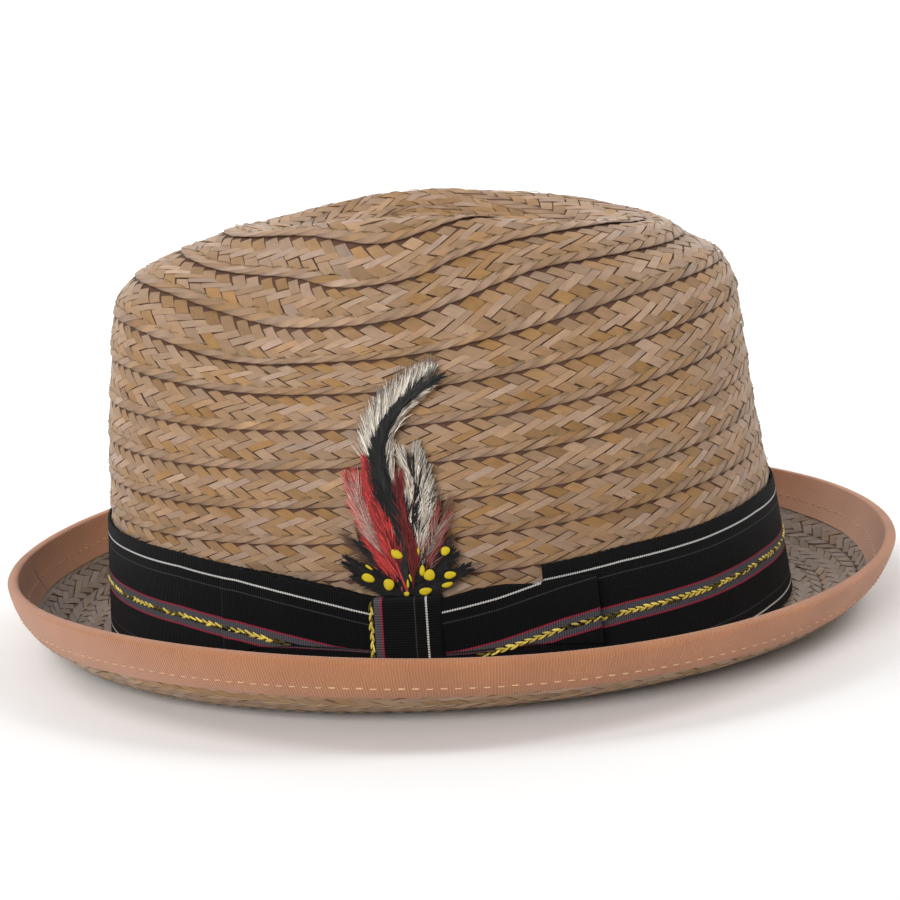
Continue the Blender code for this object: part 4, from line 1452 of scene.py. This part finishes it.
class FEDORA_OT_crown_braid(bpy.types.Operator):
    """Add the sewn braid rows of the crown, outside and inside"""
    bl_idname = "fedora.crown_braid"
    bl_label = "Crown braid"

    def execute(self, context):
        straw = context.scene.fedora_straw
        length = crown_length()
        braid("crown_braid", straw, (0.004, length), 1, 11, keep=crown_open)
        braid("crown_lining_braid", straw, (0.004, length), -1, 12, tint=(-0.1, 0.9))
        return {"FINISHED"}


class FEDORA_OT_brim_braid(bpy.types.Operator):
    """Add the sewn braid rows of the brim, upper and under side"""
    bl_idname = "fedora.brim_braid"
    bl_label = "Brim braid"

    def execute(self, context):
        straw = context.scene.fedora_straw
        length = crown_length()
        # The brim's upper straw is darkened to 0.58 of its light as painted shade from the crown and the
        # binding; its hue moves 0.3 towards pale
        braid("brim_braid", straw, (length, length + BRAID_PAST_BREAK), 1, 13, keep=crown_open,
              tint=(0.3, 0.58))
        braid("under_brim_braid", straw, (length, length + BRAID_PAST_BREAK), -1, 14, keep=crown_open)
        return {"FINISHED"}


class FEDORA_OT_thread(bpy.types.Operator):
    """Add the thread that sews the rows together"""
    bl_idname = "fedora.thread"
    bl_label = "Sewing thread"

    def execute(self, context):
        straw = context.scene.fedora_straw
        length = crown_length()
        end = length + BRAID_PAST_BREAK
        sewing_thread("row_thread", straw, (0.006, end), 1, 21, keep=crown_open)
        sewing_thread("under_row_thread", straw, (length, end), -1, 22, keep=crown_open)
        return {"FINISHED"}


class FEDORA_OT_binding(bpy.types.Operator):
    """Add the ribbon folded over the rim, with its stitches"""
    bl_idname = "fedora.binding"
    bl_label = "Rim binding"

    def execute(self, context):
        ribbon = context.scene.fedora_ribbon
        rim_binding(ribbon)
        binding_stitches(ribbon)
        return {"FINISHED"}


class FEDORA_OT_band(bpy.types.Operator):
    """Add the striped ribbon round the crown, with its gold chain"""
    bl_idname = "fedora.band"
    bl_label = "Striped band"

    def execute(self, context):
        ribbon = context.scene.fedora_ribbon
        hat_band(ribbon)
        last = 2 * math.pi * HALF_LENGTH

        def middle(place):
            """Height of the chain's line, for places that run on past the back of the hat."""
            half = last / 2
            return band_middle(np.where(place < half, place, place - last))

        gold_chain("band_chain", ribbon, (BAND_END + 0.012, last - 0.0545), middle, 0.0016)
        return {"FINISHED"}


class FEDORA_OT_bow(bpy.types.Operator):
    """Add the two flat loops and the upright wrap of the bow"""
    bl_idname = "fedora.bow"
    bl_label = "Flat bow"

    def execute(self, context):
        ribbon = context.scene.fedora_ribbon
        front = (FRONT_TOP, FRONT_MIDDLE, FRONT_FOLD)
        back = (BACK_TOP, BACK_MIDDLE, BACK_FOLD)
        bow_loop("front_loop", ribbon, -1, FRONT_LOOP_LENGTH, front, 42, "bow_loop_front")
        bow_loop("back_loop", ribbon, 1, BACK_LOOP_LENGTH, back, 43, "bow_loop_back")
        knot_wrap(ribbon)
        gold_chain("front_loop_chain", ribbon, (-0.0555, -0.0335),
                   lambda place: fold_line(place, FRONT_MIDDLE), 0.0053)
        gold_chain("back_loop_chain", ribbon, (0.0175, 0.0525),
                   lambda place: fold_line(place, BACK_MIDDLE), 0.0053)
        gold_chain("wrap_chain", ribbon, (0.0095, 0.0270),
                   lambda place: -KNOT_WIDTH / 2 + 0.0002, 0.0063, upright=True)
        return {"FINISHED"}


class FEDORA_OT_feathers(bpy.types.Operator):
    """Add the feather mount above the bow"""
    bl_idname = "fedora.feathers"
    bl_label = "Feathers"

    def execute(self, context):
        feathers(context.scene.fedora_feathers)
        return {"FINISHED"}


class FEDORA_OT_stage(bpy.types.Operator):
    """Add the floor, the lights and the photograph's camera"""
    bl_idname = "fedora.stage"
    bl_label = "Studio stage"

    def execute(self, context):
        stage()
        return {"FINISHED"}


OPERATORS = (FEDORA_OT_straw_shell, FEDORA_OT_crown_braid, FEDORA_OT_brim_braid, FEDORA_OT_thread,
             FEDORA_OT_binding, FEDORA_OT_band, FEDORA_OT_bow, FEDORA_OT_feathers, FEDORA_OT_stage)


class FEDORA_PT_panel(bpy.types.Panel):
    """Lists the steps that dress the fedora"""
    bl_idname = "FEDORA_PT_panel"
    bl_label = "Straw fedora"
    bl_space_type = "VIEW_3D"
    bl_region_type = "UI"
    bl_category = "Straw Fedora"

    def draw(self, context):
        scene = context.scene
        for group in (scene.fedora_straw, scene.fedora_ribbon, scene.fedora_feathers):
            for name in group.__annotations__:
                self.layout.prop(group, name)
        for operator in OPERATORS:
            self.layout.operator(operator.bl_idname)


GROUPS = (("fedora_straw", StrawSettings), ("fedora_ribbon", RibbonSettings),
          ("fedora_feathers", FeatherSettings))


def register():
    for made in [group for _, group in GROUPS] + list(OPERATORS) + [FEDORA_PT_panel]:
        bpy.utils.register_class(made)
    for name, group in GROUPS:
        setattr(bpy.types.Scene, name, bpy.props.PointerProperty(type=group))


def unregister():
    for name, _ in GROUPS:
        delattr(bpy.types.Scene, name)
    for made in [FEDORA_PT_panel] + list(OPERATORS) + [group for _, group in GROUPS]:
        bpy.utils.unregister_class(made)


def main():
    register()
    for operator in OPERATORS:
        getattr(bpy.ops.fedora, operator.bl_idname.split(".")[1])()


if __name__ == "__main__":
    main()
